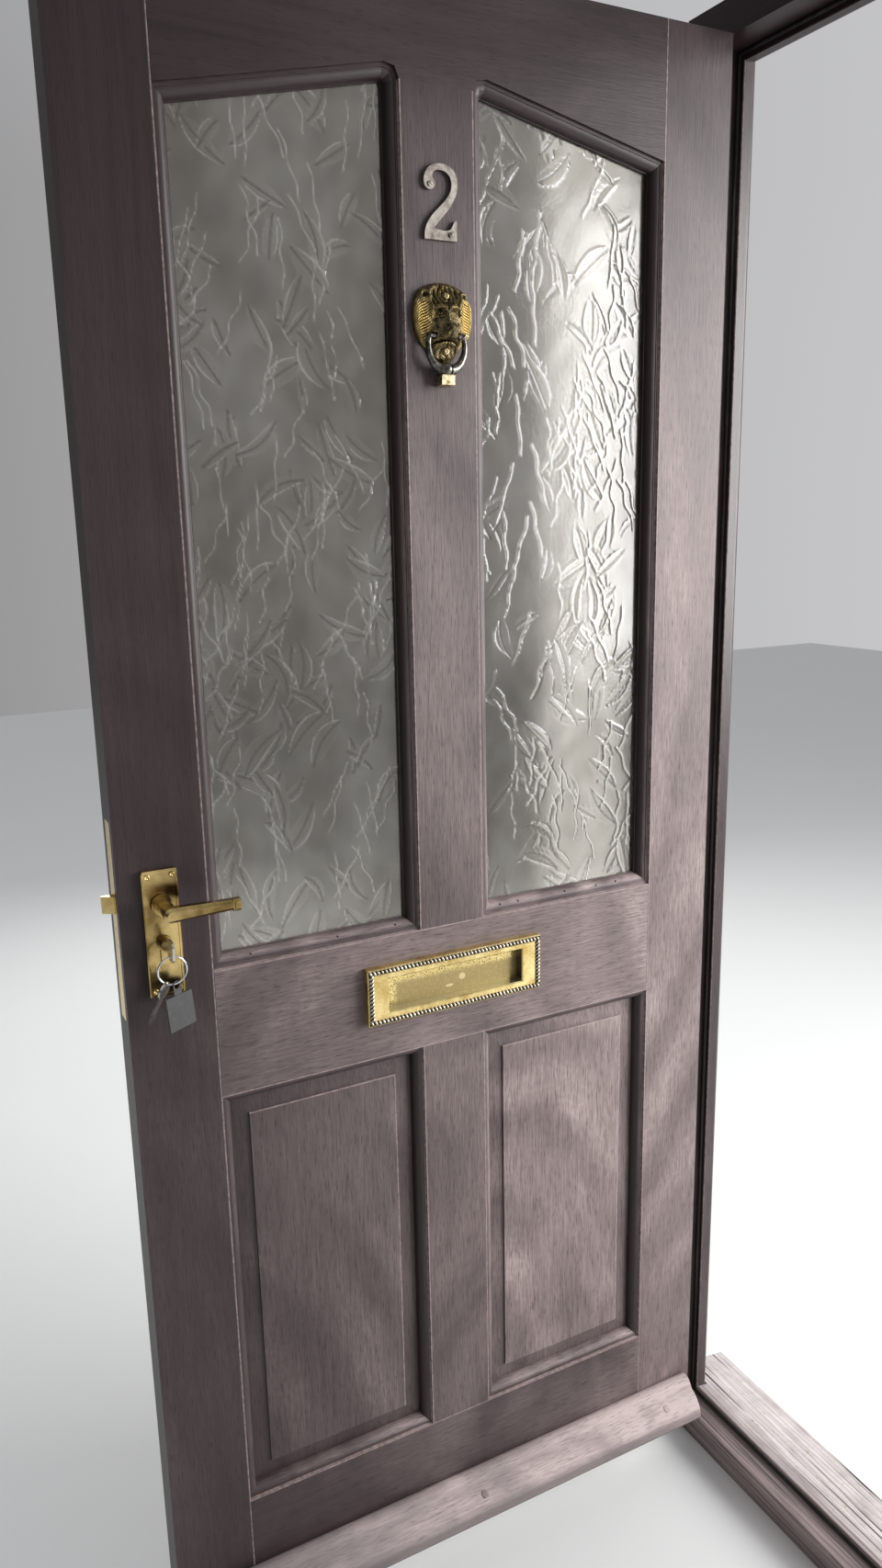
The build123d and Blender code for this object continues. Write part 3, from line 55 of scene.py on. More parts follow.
RUBBED_WIDE, JOINT_WIDE = 0.0019, 0.0011
# Across and along the grain, per metre
FIBRES, PORES, FIGURE = (430, 22), (800, 55), (52, 2.2)
FRAME_GLOSS = 0.30
JAMB_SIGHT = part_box("hinge_jamb")[0][0]
STOP_FACE = -0.012


def node(mat, kind, settings=None, **inputs):
    """One shader node. An input is a value or another node's output."""
    made = mat.node_tree.nodes.new(kind)
    for key, value in (settings or {}).items():
        setattr(made, key, value)
    for key, value in inputs.items():
        socket = made.inputs[key.replace("_", " ")]
        if isinstance(value, bpy.types.NodeSocket):
            mat.node_tree.links.new(value, socket)
        else:
            socket.default_value = value
    return made


def finish_of(name, roughness=0.5, metallic=0.0):
    mat = bpy.data.materials.new(name)
    mat.use_nodes = True
    skin_of(mat)["Roughness"].default_value = roughness
    skin_of(mat)["Metallic"].default_value = metallic
    return mat


def skin_of(mat):
    return mat.node_tree.nodes["Principled BSDF"].inputs


def join(mat, output, socket):
    mat.node_tree.links.new(output, socket)


def dress(mat, colour, roughness=None, normal=None):
    """Gives a material its finish. What isn't given stays as it is."""
    for name, output in (("Base Color", colour), ("Roughness", roughness), ("Normal", normal)):
        if output is not None:
            join(mat, output, skin_of(mat)[name])
    return mat


def place_on(mat, scale=(1, 1, 1), offset=(0, 0, 0)):
    """The piece's own coordinates in metres, stretched by scale."""
    where = node(mat, "ShaderNodeTexCoord").outputs["Object"]
    made = node(mat, "ShaderNodeMapping", Vector=where, Scale=scale, Location=offset)
    return made.outputs["Vector"]


def axes_of(mat):
    return node(mat, "ShaderNodeSeparateXYZ", Vector=place_on(mat)).outputs


def noise(mat, scale, detail=3.0, rough=0.55, distort=0.0, at=(0, 0, 0)):
    """Clouds or specks, at a number a metre. scale is one number or one for each axis."""
    where = place_on(mat, scale if isinstance(scale, (tuple, list)) else (scale,) * 3, at)
    made = node(mat, "ShaderNodeTexNoise", Vector=where, Scale=1.0, Detail=detail,
                Roughness=rough, Distortion=distort)
    return made.outputs["Fac"]


def spread(mat, value, low, high, to_low=0.0, to_high=1.0):
    made = node(mat, "ShaderNodeMapRange", Value=value, From_Min=low, From_Max=high,
                To_Min=to_low, To_Max=to_high)
    return made.outputs["Result"]


def mix(mat, amount, first, second):
    made = node(mat, "ShaderNodeMixRGB", Fac=amount, Color1=first, Color2=second)
    return made.outputs["Color"]


def maths(mat, how, *values):
    made = mat.node_tree.nodes.new("ShaderNodeMath")
    made.operation = how
    for socket, value in zip(made.inputs, values):
        if isinstance(value, bpy.types.NodeSocket):
            mat.node_tree.links.new(value, socket)
        else:
            socket.default_value = value
    return made.outputs[0]


def times(mat, first, *others):
    product = first
    for other in others:
        product = maths(mat, "MULTIPLY", product, other)
    return product


def away_from_plane(mat, axis, place):
    """Distance to the plane across an axis at a place, in metres."""
    return maths(mat, "ABSOLUTE", maths(mat, "SUBTRACT", axes_of(mat)[axis], place))


def bump(mat, height, strength, depth, under=None):
    made = node(mat, "ShaderNodeBump", Height=height, Strength=strength, Distance=depth)
    if under is not None:
        join(mat, under, made.inputs["Normal"])
    return made.outputs["Normal"]


def near_line(mat, lines, half_width):
    """1 on each line, fading out over its half width.

    A line is where one or two planes meet, each given as (axis, metres).
    """
    found = None
    for line in lines:
        here = None
        for axis, place in line:
            close = spread(mat, away_from_plane(mat, axis, place), half_width, half_width * 0.3)
            here = close if here is None else maths(mat, "MINIMUM", here, close)
        found = here if found is None else maths(mat, "MAXIMUM", found, here)
    return found


def grain_scale(along, across, lengthwise):
    scale = [across] * 3
    scale[along] = lengthwise
    return scale


def wiped(mat, cloud, hub):
    """Thins the bloom in the arcs of the cloth that laid the stain, but for the places it missed."""
    rings = {"wave_type": "RINGS", "rings_direction": "X"}
    centre = place_on(mat, (1, 1, 0.8), hub)
    swept = node(mat, "ShaderNodeTexWave", rings, Vector=centre, Scale=3.1, Distortion=5.5,
                 Detail=3.0, Detail_Scale=1.1, Detail_Roughness=0.6).outputs["Fac"]
    brushed = node(mat, "ShaderNodeTexWave", rings, Vector=centre, Scale=21.0, Distortion=19.0,
                   Detail=4.0, Detail_Scale=0.55, Detail_Roughness=0.7).outputs["Fac"]
    missed = noise(mat, (7, 7, 5), 3, 0.55, 0.6, at=(4, 1, 6))
    swept = times(mat, spread(mat, swept, 0.10, 0.90, 0.42, 1.08),
                  spread(mat, brushed, 0, 1, 0.90, 1.08))
    swept = mix(mat, spread(mat, missed, 0.38, 0.60), (0.62, 0.62, 0.62, 1), swept)
    return times(mat, spread(mat, cloud, 0, 1, 0.55, 1.0), swept)


def ledge_dust_and_painted_light_by_facing(mat):
    """Painted light and shade by which way a face looks, with dust on ledges: paler on ledges and
    toward the hinges, darker underneath and on mouldings toward the lock.
    """
    way = node(mat, "ShaderNodeTexCoord").outputs["Normal"]
    lie = node(mat, "ShaderNodeSeparateXYZ", Vector=way).outputs
    toward_lock = times(mat, spread(mat, lie[ALONG_Y], 0.10, 0.55, 1.0, 0.06),
                        spread(mat, lie[ALONG_Y], -0.60, -0.20, 2.4, 1.0))
    ledge = times(mat, spread(mat, lie[ALONG_Z], -0.5, 0.0, 0.3, 1.0),
                  spread(mat, lie[ALONG_Z], 0.22, 0.60, 1.0, 4.4))
    tilt = maths(mat, "MAXIMUM", maths(mat, "ABSOLUTE", lie[ALONG_Y]),
                 maths(mat, "ABSOLUTE", lie[ALONG_Z]))
    ledge = times(mat, ledge, spread(mat, tilt, 0.02, 0.08, 1.0, 0.66))
    return times(mat, toward_lock, ledge)


def woodstain(name, along, chalk, sun_and_light=None, gloss=0.40, arrises=(), joints=(), hub=None):
    """Dark stain over open grain.

    chalk is how far the weather has bloomed it, and the function given next varies that over the
    face, adding painted light to the bloom.
    arrises are rubbed pale, and the fields' lit edges among them get a painted highlight too; joints
    between members are dark.
    hub is the middle of the arcs that a cloth has wiped.
    """
    mat = finish_of(name)
    skin_of(mat)["Specular IOR Level"].default_value = 0.36
    fibres = noise(mat, grain_scale(along, *FIBRES), 4, 0.6)
    pores = noise(mat, grain_scale(along, *PORES), 2, at=(3, 7, 5))
    pores = spread(mat, pores, 0.55, 0.66)
    figure = noise(mat, grain_scale(along, *FIGURE), 4, 0.6, 0.8, at=(9, 2, 4))
    cloud = noise(mat, (4.2, 4.2, 3.0), 3, 0.5, 1.2, at=(1, 6, 3))
    cloud = spread(mat, cloud, 0.36, 0.68)
    if hub:
        cloud = wiped(mat, cloud, hub)
    bloom = maths(mat, "ADD", times(mat, cloud, 0.50), times(mat, figure, 0.12))
    bloom = maths(mat, "ADD", bloom, 0.12)
    bloom = times(mat, bloom, spread(mat, fibres, 0.36, 0.62, 0.74, 1.18))
    # Painted light and shade by which way each face looks.
    bloom = times(mat, bloom, ledge_dust_and_painted_light_by_facing(mat))
    # Bloom over the face, with painted light laid over it.
    bloom = times(mat, bloom, sun_and_light(mat, chalk) if sun_and_light else chalk)
    colour = mix(mat, spread(mat, figure, 0.25, 0.75, 0.2, 0.9), STAIN_DARK, STAIN_MID)
    colour = mix(mat, bloom, colour, STAIN_CHALK)
    colour = mix(mat, times(mat, pores, 0.5), colour, STAIN_DARK)
    # Pale arrises: rubbed, and on the fields' lit edges also a painted highlight.
    if arrises:
        patchy = noise(mat, 140, 3, 0.7, at=(2, 2, 9))
        rubbed = times(mat, near_line(mat, arrises, RUBBED_WIDE),
                       spread(mat, patchy, 0.38, 0.62, 0.28, 0.72))
        colour = mix(mat, rubbed, colour, RUBBED_AND_LIT_EDGE)
    if joints:
        gap = times(mat, near_line(mat, joints, JOINT_WIDE), 0.8)
        colour = mix(mat, gap, colour, OPEN_JOINT)
    ridges = bump(mat, fibres, 0.3, 0.0006)
    return dress(mat, colour, spread(mat, bloom, 0.0, 0.7, gloss, gloss + 0.24),
                 bump(mat, pores, -0.6, 0.0005, ridges))


def wear(names, mat):
    for name in names:
        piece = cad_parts[name]
        piece.data.materials.clear()
        piece.data.materials.append(mat)


jamb_arrises = [((ALONG_X, side * JAMB_SIGHT), (ALONG_Y, STOP_FACE)) for side in (1, -1)]
wear(["hinge_jamb", "lock_jamb"],
     woodstain("jamb_stain", ALONG_Z, 0.16, gloss=FRAME_GLOSS, arrises=jamb_arrises))
wear(["frame_head"], woodstain("head_stain", ALONG_X, 0.12, gloss=FRAME_GLOSS))

# The sill: one thick hardwood section between the jambs, with an upstand for the leaf to shut on.
# Its long outer slope has stood in the weather, so the stain is worn to grey, cracked timber there,
# and that grey is made paler as painted sheen from the sky.
SILL_GREY_AND_SHEEN = (0.70, 0.65, 0.64, 1)
SILL_SHADE = (0.40, 0.35, 0.34, 1)
SILL_LICHEN = (0.30, 0.29, 0.19, 1)
SILL_CRACK = (0.025, 0.02, 0.018, 1)
WEATHER_FROM, WEATHER_FULL = -0.008, -0.045


def weathered_sill():
    mat = finish_of("weathered_sill")
    weather = spread(mat, axes_of(mat)[ALONG_Y], WEATHER_FROM, WEATHER_FULL)
    fibres = noise(mat, grain_scale(ALONG_X, 300, 6), 5, 0.65)
    cracks = noise(mat, grain_scale(ALONG_X, 150, 2.6), 2, 0.5, 0.4, at=(2, 4, 8))
    patches = noise(mat, 22, 5, 0.7, at=(5, 1, 2))
    lichen = noise(mat, 70, 4, 0.75, at=(8, 3, 2))
    worn = times(mat, weather, spread(mat, patches, 0.32, 0.55, 0.60, 1.0))
    body = mix(mat, spread(mat, fibres, 0.3, 0.7), STAIN_MID, STAIN_CHALK)
    # The worn grey, made paler as painted sheen.
    grey = mix(mat, spread(mat, fibres, 0.35, 0.65), SILL_SHADE, SILL_GREY_AND_SHEEN)
    colour = mix(mat, worn, body, grey)
    spots = times(mat, spread(mat, lichen, 0.60, 0.68), weather, 0.7)
    colour = mix(mat, spots, colour, SILL_LICHEN)
    split = times(mat, spread(mat, cracks, 0.61, 0.66), weather)
    colour = mix(mat, split, colour, SILL_CRACK)
    rough = bump(mat, fibres, 0.5, 0.0009)
    return dress(mat, colour, spread(mat, worn, 0, 1, 0.5, 0.85),
                 bump(mat, split, -0.9, 0.0018, rough))


wear(["sill"], weathered_sill())

# The weather seals: black rubber, extruded in strips with a bulb and dulled by dust.
# They are pressed into kerfs in the jambs, the head and the sill, where the leaf shuts on them.
RUBBER_BLACK = (0.012, 0.012, 0.013, 1)
RUBBER_DUST = (0.05, 0.045, 0.043, 1)


def seal_rubber():
    mat = finish_of("seal_rubber", 0.42)
    dust = noise(mat, (90, 90, 30), 4, 0.6)
    colour = mix(mat, spread(mat, dust, 0.45, 0.75), RUBBER_BLACK, RUBBER_DUST)
    return dress(mat, colour, spread(mat, dust, 0.3, 0.7, 0.30, 0.6), bump(mat, dust, 0.2, 0.0003))


wear(["seal_hinge_jamb", "seal_lock_jamb", "seal_head", "seal_sill"], seal_rubber())

# The leaf: stiles, rails and muntins of hardwood with mortised joints, stained on every face.
# The face toward the street is bloomed toward the hinges, and painted light makes it paler still
# toward the hinges and at half its height.
# The edges of its openings are rubbed pale, and the joints show as thin dark lines.
leaf_low, leaf_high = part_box("lock_stile")
OUTER_X = leaf_low[0]
FREE_Y, HINGE_Y = leaf_high[1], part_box("hinge_stile")[0][1]
LEAF_FOOT, LEAF_TOP = leaf_low[2], leaf_high[2]
LEAF_MID_Y = (FREE_Y + HINGE_Y) / 2
STILE_W = 0.102
MUNTIN_HALF = 0.046
LOCK_RAIL_Z = (LEAF_FOOT + 0.779, LEAF_FOOT + 0.941)
BOTTOM_RAIL_Z = LEAF_FOOT + 0.196
SCUFFED_FROM, SCUFFED_FULL = 1.02, 0.80


def bloom_and_painted_light_over_face(mat, chalk):
    """How far the outer face has bloomed, partly real bloom and partly painted light: paler toward
    the hinges and at half height, darker toward the top and the foot.
    """
    axes = axes_of(mat)
    across = spread(mat, axes[ALONG_Y], FREE_Y - 0.10, HINGE_Y + 0.10, 0.0, 0.72)
    outside = spread(mat, axes[ALONG_X], OUTER_X + 0.030, OUTER_X + 0.022)
    level = maths(mat, "ADD", times(mat, across, outside), chalk)
    below_top = spread(mat, axes[ALONG_Z], LEAF_TOP - 0.08, LEAF_FOOT + 1.40, 0.14, 1.0)
    above_foot = spread(mat, axes[ALONG_Z], LEAF_FOOT + 0.10, LEAF_FOOT + 0.95, 0.72, 1.0)
    return times(mat, level, times(mat, below_top, above_foot))


def handled(mat, chalk):
    """The lock stile is darkest behind the handle and scuffed pale below it."""
    scuffed = spread(mat, axes_of(mat)[ALONG_Z], SCUFFED_FROM, SCUFFED_FULL, 1.0, 3.4)
    return times(mat, bloom_and_painted_light_over_face(mat, chalk), scuffed)


free_joint = ((ALONG_Y, FREE_Y - STILE_W),)
hinge_joint = ((ALONG_Y, HINGE_Y + STILE_W),)
both_joints = (free_joint, hinge_joint)
muntin_sides = [((ALONG_Y, LEAF_MID_Y + side * MUNTIN_HALF),) for side in (1, -1)]
lock_rail_sides = [((ALONG_Z, z),) for z in LOCK_RAIL_Z]
bottom_rail_side = ((ALONG_Z, BOTTOM_RAIL_Z),)
# The chalk differs piece by piece partly as painted light: the hinge stile and the lock rail, where
# most light falls, are paler than the lock stile and the top rail.
wear(["lock_stile"],
     woodstain("lock_stile_stain", ALONG_Z, 0.045, handled, arrises=(free_joint,),
               hub=(0, -1.2, -0.2)))
wear(["hinge_stile"],
     woodstain("hinge_stile_stain", ALONG_Z, 0.36, bloom_and_painted_light_over_face, 0.36, arrises=(hinge_joint,),
               hub=(0, -0.75, -1.1)))
wear(["upper_muntin", "lower_muntin"],
     woodstain("muntin_stain", ALONG_Z, 0.17, bloom_and_painted_light_over_face, arrises=muntin_sides))
wear(["top_rail"], woodstain("top_rail_stain", ALONG_Y, 0.06, bloom_and_painted_light_over_face, joints=both_joints))
wear(["lock_rail"],
     woodstain("lock_rail_stain", ALONG_Y, 0.46, bloom_and_painted_light_over_face, arrises=lock_rail_sides,
               joints=both_joints, hub=(0, -0.52, -0.50)))
wear(["bottom_rail"],
     woodstain("bottom_rail_stain", ALONG_Y, 0.21, bloom_and_painted_light_over_face, arrises=[bottom_rail_side],
               joints=both_joints))

# The lower panels: raised and fielded hardwood boards, held loose in the grooves of the leaf.
# Their stain was wiped with a cloth in wide arcs. The two edges of each field that face the light are
# pale, rubbed and with a painted highlight, and the right panel is set paler than the left as painted
# light.
HUB_Z = -(LEAF_FOOT + 0.22) * 0.8
for panel, hub_y, chalk in (("left_panel", 0.80, 0.27), ("right_panel", 0.42, 0.70)):
    face_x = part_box(panel)[0][0]
    corners = [corner.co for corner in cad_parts[panel].data.vertices]
    field = [place for place in corners if place.x < face_x + 0.0002]
    lit_field_edges = [((ALONG_Z, max(place.z for place in field)), (ALONG_X, face_x)),
                   ((ALONG_Y, min(place.y for place in field)), (ALONG_X, face_x))]
    wear([panel], woodstain(panel + "_stain", ALONG_Z, chalk, bloom_and_painted_light_over_face, arrises=lit_field_edges,
                            hub=(0, -hub_y, HUB_Z)))

# The upper panes: obscured glass, rolled with a pattern of leaves and tendrils toward the street.
# Each is cut to its raked opening, bedded in the rebate and held by the beads.
RELIEF = 0.0010
LEAVES_A_PANE = 150
LEAF_LENGTHS, LEAF_WIDTHS, LEAF_BENDS = (0.018, 0.035), (0.24, 0.42), (-0.30, 0.30)
VEIN, RIB_PITCH = 0.0014, 0.0085
TENDRILS_A_PANE = 110
TENDRIL_STEPS, TENDRIL_STEP = 46, 0.0016
TENDRIL_R, TENDRIL_REACH = 0.0014, 0.004
PANE_COLUMNS, PANE_ROWS = 148, 560
RIM_FADE = 0.004
GLASS_SHADE, GLASS_BODY = (0.27, 0.25, 0.22, 1), (0.40, 0.385, 0.35, 1)
GLASS_HOLLOW_SHADE, GLASS_RIDGE_HIGHLIGHT = (0.12, 0.115, 0.10, 1), (0.80, 0.81, 0.76, 1)


def pressed_leaves(y, z, seed):
    """Height 0 to 1 of the rolled pattern over the places y, z."""
    chance = np.random.default_rng(seed)
    height = 0.34 + 0.06 * np.sin(y * 84 + 2 * np.sin(z * 37)) * np.sin(z * 61 + 1.5 * np.sin(y * 45))
    low = (y.min(), z.min())
    high = (y.max(), z.max())
    for _ in range(LEAVES_A_PANE):
        at = chance.uniform(low, high)
        turn = math.pi / 2 + chance.uniform(-1.15, 1.15) + math.pi * chance.integers(2)
        length = chance.uniform(*LEAF_LENGTHS)
        slender = chance.uniform(*LEAF_WIDTHS)
        bend = chance.uniform(*LEAF_BENDS)
        near = (np.abs(y - at[0]) < length) & (np.abs(z - at[1]) < length)
        if not near.any():
            continue
        dy = y[near] - at[0]
        dz = z[near] - at[1]
        s = (dy * math.cos(turn) + dz * math.sin(turn)) / length
        t = (dz * math.cos(turn) - dy * math.sin(turn)) / length - bend * s * s
        half = slender * np.clip(1 - s * s, 0, 1) ** 0.75 * (1 - 0.25 * s) + 1e-6
        across = np.abs(t) / half
        rolled_edge = np.where(t > 0, 0.52, 0.20) * np.exp(-((across - 0.90) / 0.17) ** 2)
        blade = 0.46 - 0.16 * across + rolled_edge - 0.30 * np.exp(-(t * length / VEIN) ** 2)
        blade += 0.035 * np.cos((s * length + np.abs(t) * length * 1.3) * 2 * math.pi / RIB_PITCH)
        height[near] = np.where(across < 1, blade, height[near])
    for _ in range(TENDRILS_A_PANE):
        at = chance.uniform(low, high)
        heading = math.pi / 2 + chance.uniform(-0.55, 0.55)
        curl = chance.uniform(20, 75)
        for step in range(TENDRIL_STEPS):
            at = at + TENDRIL_STEP * np.array((math.cos(heading), math.sin(heading)))
            heading += curl * TENDRIL_STEP * math.cos(step * 0.27)
            near = (np.abs(y - at[0]) < TENDRIL_REACH) & (np.abs(z - at[1]) < TENDRIL_REACH)
            if near.any():
                away = (y[near] - at[0]) ** 2 + (z[near] - at[1]) ** 2
                height[near] = np.maximum(height[near], np.exp(-away / TENDRIL_R ** 2))
    return np.clip(height, 0, 1)


def new_piece(name, points, faces, mat, body):
    """A piece in the row frame that rides a body."""
    mesh = bpy.data.meshes.new(name)
    mesh.from_pydata([tuple(p) for p in points], [], faces)
    mesh.validate()
    turned = bmesh.new()
    turned.from_mesh(mesh)
    bmesh.ops.recalc_face_normals(turned, faces=turned.faces)
    turned.to_mesh(mesh)
    turned.free()
    mesh.materials.append(mat)
    mesh.shade_smooth()
    made = bpy.data.objects.new(name, mesh)
    bpy.context.collection.objects.link(made)
    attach(made, body)
    return made


def grid_faces(rows, columns, close=False):
    """Quads over rows by columns of points, in order. close joins the last column to the first."""
    faces = []
    for i in range(rows - 1):
        for j in range(columns if close else columns - 1):
            a = i * columns + j
            b = i * columns + (j + 1) % columns
            faces.append((a, b, b + columns, a + columns))
    return faces


def mark(made, name, values):
    """A number at every vertex that the piece's material reads."""
    marks = made.data.attributes.new(name, "FLOAT", "POINT")
    marks.data.foreach_set("value", np.asarray(values, dtype=np.float32))


def marked(mat, name):
    return node(mat, "ShaderNodeAttribute", {"attribute_name": name}).outputs["Fac"]


def obscured_glass():
    mat = finish_of("obscured_glass")
    skin_of(mat)["Transmission Weight"].default_value = 0.88
    skin_of(mat)["IOR"].default_value = 1.5
    pressed = marked(mat, "pressed")
    cloud = noise(mat, (9, 9, 6), 3, 0.6)
    tint = mix(mat, spread(mat, cloud, 0.35, 0.65), GLASS_SHADE, GLASS_BODY)
    # Painted shade in the pattern's hollows and painted highlight on its ridges, tinted into the
    # glass.
    tint = mix(mat, spread(mat, pressed, 0.15, 0.42), GLASS_HOLLOW_SHADE, tint)
    tint = mix(mat, spread(mat, pressed, 0.55, 0.95), tint, GLASS_RIDGE_HIGHLIGHT)
    ripple = noise(mat, 240, 3, 0.6, at=(3, 1, 2))
    return dress(mat, tint, spread(mat, pressed, 0.2, 0.9, 0.16, 0.05),
                 bump(mat, ripple, 0.12, 0.0006))


glass_mat = obscured_glass()


def pane_outline(name):
    """The CAD pane's two faces, its foot and its raked top: front, back, low_z, ys, tops."""
    corners = np.array([v.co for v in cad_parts[name].data.vertices])
    front, back = corners[:, 0].min(), corners[:, 0].max()
    edge = corners[np.abs(corners[:, 0] - front) < 1e-5]
    low_z = edge[:, 2].min()
    upper = edge[edge[:, 2] > low_z + 0.3]
    upper = upper[np.lexsort((upper[:, 2], upper[:, 1]))]
    sides = np.sort(np.unique(upper[:, 1].round(6)))
    crest = np.array([upper[np.abs(upper[:, 1] - side) < 2e-6][:, 2].max() for side in sides])
    ys = np.linspace(sides[0], sides[-1], PANE_COLUMNS)
    return front, back, low_z, ys, np.interp(ys, sides, crest)


def roll_pane(name, seed):
    """A pane of the CAD pane's outline and thickness, its pattern pressed into its outer face."""
    front, back, low_z, ys, tops = pane_outline(name)
    share = np.linspace(0, 1, PANE_ROWS)[:, None]
    z = low_z + share * (tops - low_z)
    y = np.broadcast_to(ys, z.shape)
    pressed = pressed_leaves(y, z, seed)
    rim = np.minimum(np.minimum(y - ys[0], ys[-1] - y), np.minimum(z - low_z, tops - z))
    pressed = pressed * np.clip(rim / RIM_FADE, 0, 1)
    x = front + RELIEF * (1 - pressed)
    points = np.stack((x, y, z), -1).reshape(-1, 3)
    faces = grid_faces(PANE_ROWS, PANE_COLUMNS)
    count = PANE_ROWS * PANE_COLUMNS
    last = count - PANE_COLUMNS
    foot = list(range(PANE_COLUMNS))
    up = [row * PANE_COLUMNS + PANE_COLUMNS - 1 for row in range(1, PANE_ROWS)]
    over = list(range(count - 2, last - 1, -1))
    down = [row * PANE_COLUMNS for row in range(PANE_ROWS - 2, 0, -1)]
    loop = foot + up + over + down
    rear = points[loop].copy()
    rear[:, 0] = back
    n = len(loop)
    for i in range(n):
        j = (i + 1) % n
        faces.append((loop[j], loop[i], count + i, count + j))
    faces.append(tuple(range(count, count + n)))
    made = new_piece("pressed_" + name, np.vstack((points, rear)), faces, glass_mat, "leaf")
    for side in made.data.polygons[-n - 1:]:
        side.use_smooth = False
    mark(made, "pressed", np.concatenate((pressed.reshape(-1), np.full(n, 0.5))))
    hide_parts(name)


roll_pane("left_glass", 21)
roll_pane("right_glass", 34)

# The glazing beads: mitred ovolo strips of the leaf's own hardwood, stained with it.
# They are pinned round each pane from the outside, and the heads of the brads are left showing.
LEAF_MID_U = 0.419
HINGE_U = 0.736
BEAD_EDGES_U = (STILE_W, LEAF_MID_U - MUNTIN_HALF, LEAF_MID_U + MUNTIN_HALF, HINGE_U)
# Places of the brads, in mm from the leaf's free edge and its foot
BRADS = {
    "right_bead_bottom": ((495, 951.5), (523, 951.2), (598, 951.6), (650, 951.3), (683, 951.4)),
    "right_bead_top": ((535, 1896.5), (664, 1870)),
    "left_bead_top": ((230, 1884),),
    "left_bead_bottom": ((150, 951.4), (262, 951.2), (341, 951.6)),
}
BRAD_R, BRAD_PROUD = 0.0013, 0.0005
BRAD_DARK, BRAD_RUST = (0.010, 0.007, 0.006, 1), (0.05, 0.035, 0.028, 1)
HEAD_RINGS = (0, 0.12, 0.24, 0.36, 0.48, 0.56, 0.60, 0.72, 0.86, 0.95, 1.0, 1.0)
HEAD_SIDES = 28
SLOT_HALF, CROSS_REACH, SLOT_REACH, SLOT_DEPTH = 0.16, 0.57, 0.97, 0.62

bead_edges = [((ALONG_Y, FREE_Y - u),) for u in BEAD_EDGES_U]
bead_up = woodstain("bead_stain_upright", ALONG_Z, 0.12, bloom_and_painted_light_over_face, arrises=bead_edges)
bead_level = woodstain("bead_stain_level", ALONG_Y, 0.28, bloom_and_painted_light_over_face,
                       arrises=[((ALONG_Z, LOCK_RAIL_Z[1]),)])
for side in ("left", "right"):
    wear([f"{side}_bead_inner", f"{side}_bead_outer"], bead_up)
    wear([f"{side}_bead_top", f"{side}_bead_bottom"], bead_level)


def on_leaf(u, n, z):
    """A place on the leaf: u from its free edge, n out from its outer face, z up from its foot."""
    return Vector((OUTER_X - n, FREE_Y - u, LEAF_FOOT + z))


def on_face(name, u, z):
    """Where a line in from the street meets a CAD node, and which way its face looks there."""
    start = on_leaf(u / 1000, 0.2, z / 1000)
    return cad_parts[name].ray_cast(start, Vector((1, 0, 0)))[1:3]


def stud(spot, outward, radius, proud, recess=None, shank=0.0):
    """Points and faces of a domed head. recess is None, "slot" or "cross"."""
    outward = Vector(outward).normalized()
    side = outward.orthogonal().normalized()
    up = outward.cross(side)
    turns = [2 * math.pi * k / HEAD_SIDES for k in range(HEAD_SIDES)]
    points = []
    for i, r in enumerate(HEAD_RINGS):
        for turn in turns:
            a = r * math.cos(turn)
            b = r * math.sin(turn)
            lift = 1 - 0.35 * r * r - (0.2 if 0.95 < r else 0)
            in_slot = recess and abs(b) < SLOT_HALF and (recess == "slot" or r < CROSS_REACH)
            in_cross = recess == "cross" and abs(a) < SLOT_HALF and r < CROSS_REACH
            if (in_slot or in_cross) and r < SLOT_REACH:
                lift -= SLOT_DEPTH
            if i == len(HEAD_RINGS) - 1:
                lift = -0.1
            points.append(Vector(spot) + radius * (a * side + b * up) + proud * lift * outward)
    if shank:
        for turn in turns:
            rim = radius * 0.4 * (math.cos(turn) * side + math.sin(turn) * up)
            points.append(Vector(spot) + rim - shank * outward)
    rows = len(points) // HEAD_SIDES
    return points, [face[::-1] for face in grid_faces(rows, HEAD_SIDES, close=True)]


def studs(name, spots, mat, body, radius, proud, recess=None, shank=0.0):
    """Several heads in one piece. spots are (place, outward)."""
    points = []
    faces = []
    for spot, outward in spots:
        more, quads = stud(spot, outward, radius, proud, recess, shank)
        faces += [tuple(len(points) + i for i in face) for face in quads]
        points += more
    return new_piece(name, points, faces, mat, body)


def brad_steel():
    mat = finish_of("brad_steel", 0.5, 0.6)
    rust = noise(mat, 900, 3, 0.6)
    return dress(mat, mix(mat, rust, BRAD_DARK, BRAD_RUST))


brad_spots = [on_face(bead, u, z) for bead, places in BRADS.items() for u, z in places]
studs("glazing_brads", brad_spots, brad_steel(), "leaf", BRAD_R, BRAD_PROUD)

# The weatherboard: a moulded hardwood section along the foot of the leaf, made to throw rain off.
# It is screwed to the leaf, and a wooden plug fills the hole over each screw.
BOARD_DUST_AND_SKYLIGHT = (0.78, 0.70, 0.69, 1)
BOARD_GLOSS = 0.5
PLUG_PLACES = ((767, 76), (436, 76), (132, 76))
PLUG_R, PLUG_PROUD = 0.0052, 0.0007


def painted_over(mat, amount, colour):
    """Lays a colour over what the finish has already."""
    before = skin_of(mat)["Base Color"].links[0].from_socket
    return dress(mat, mix(mat, amount, before, colour))


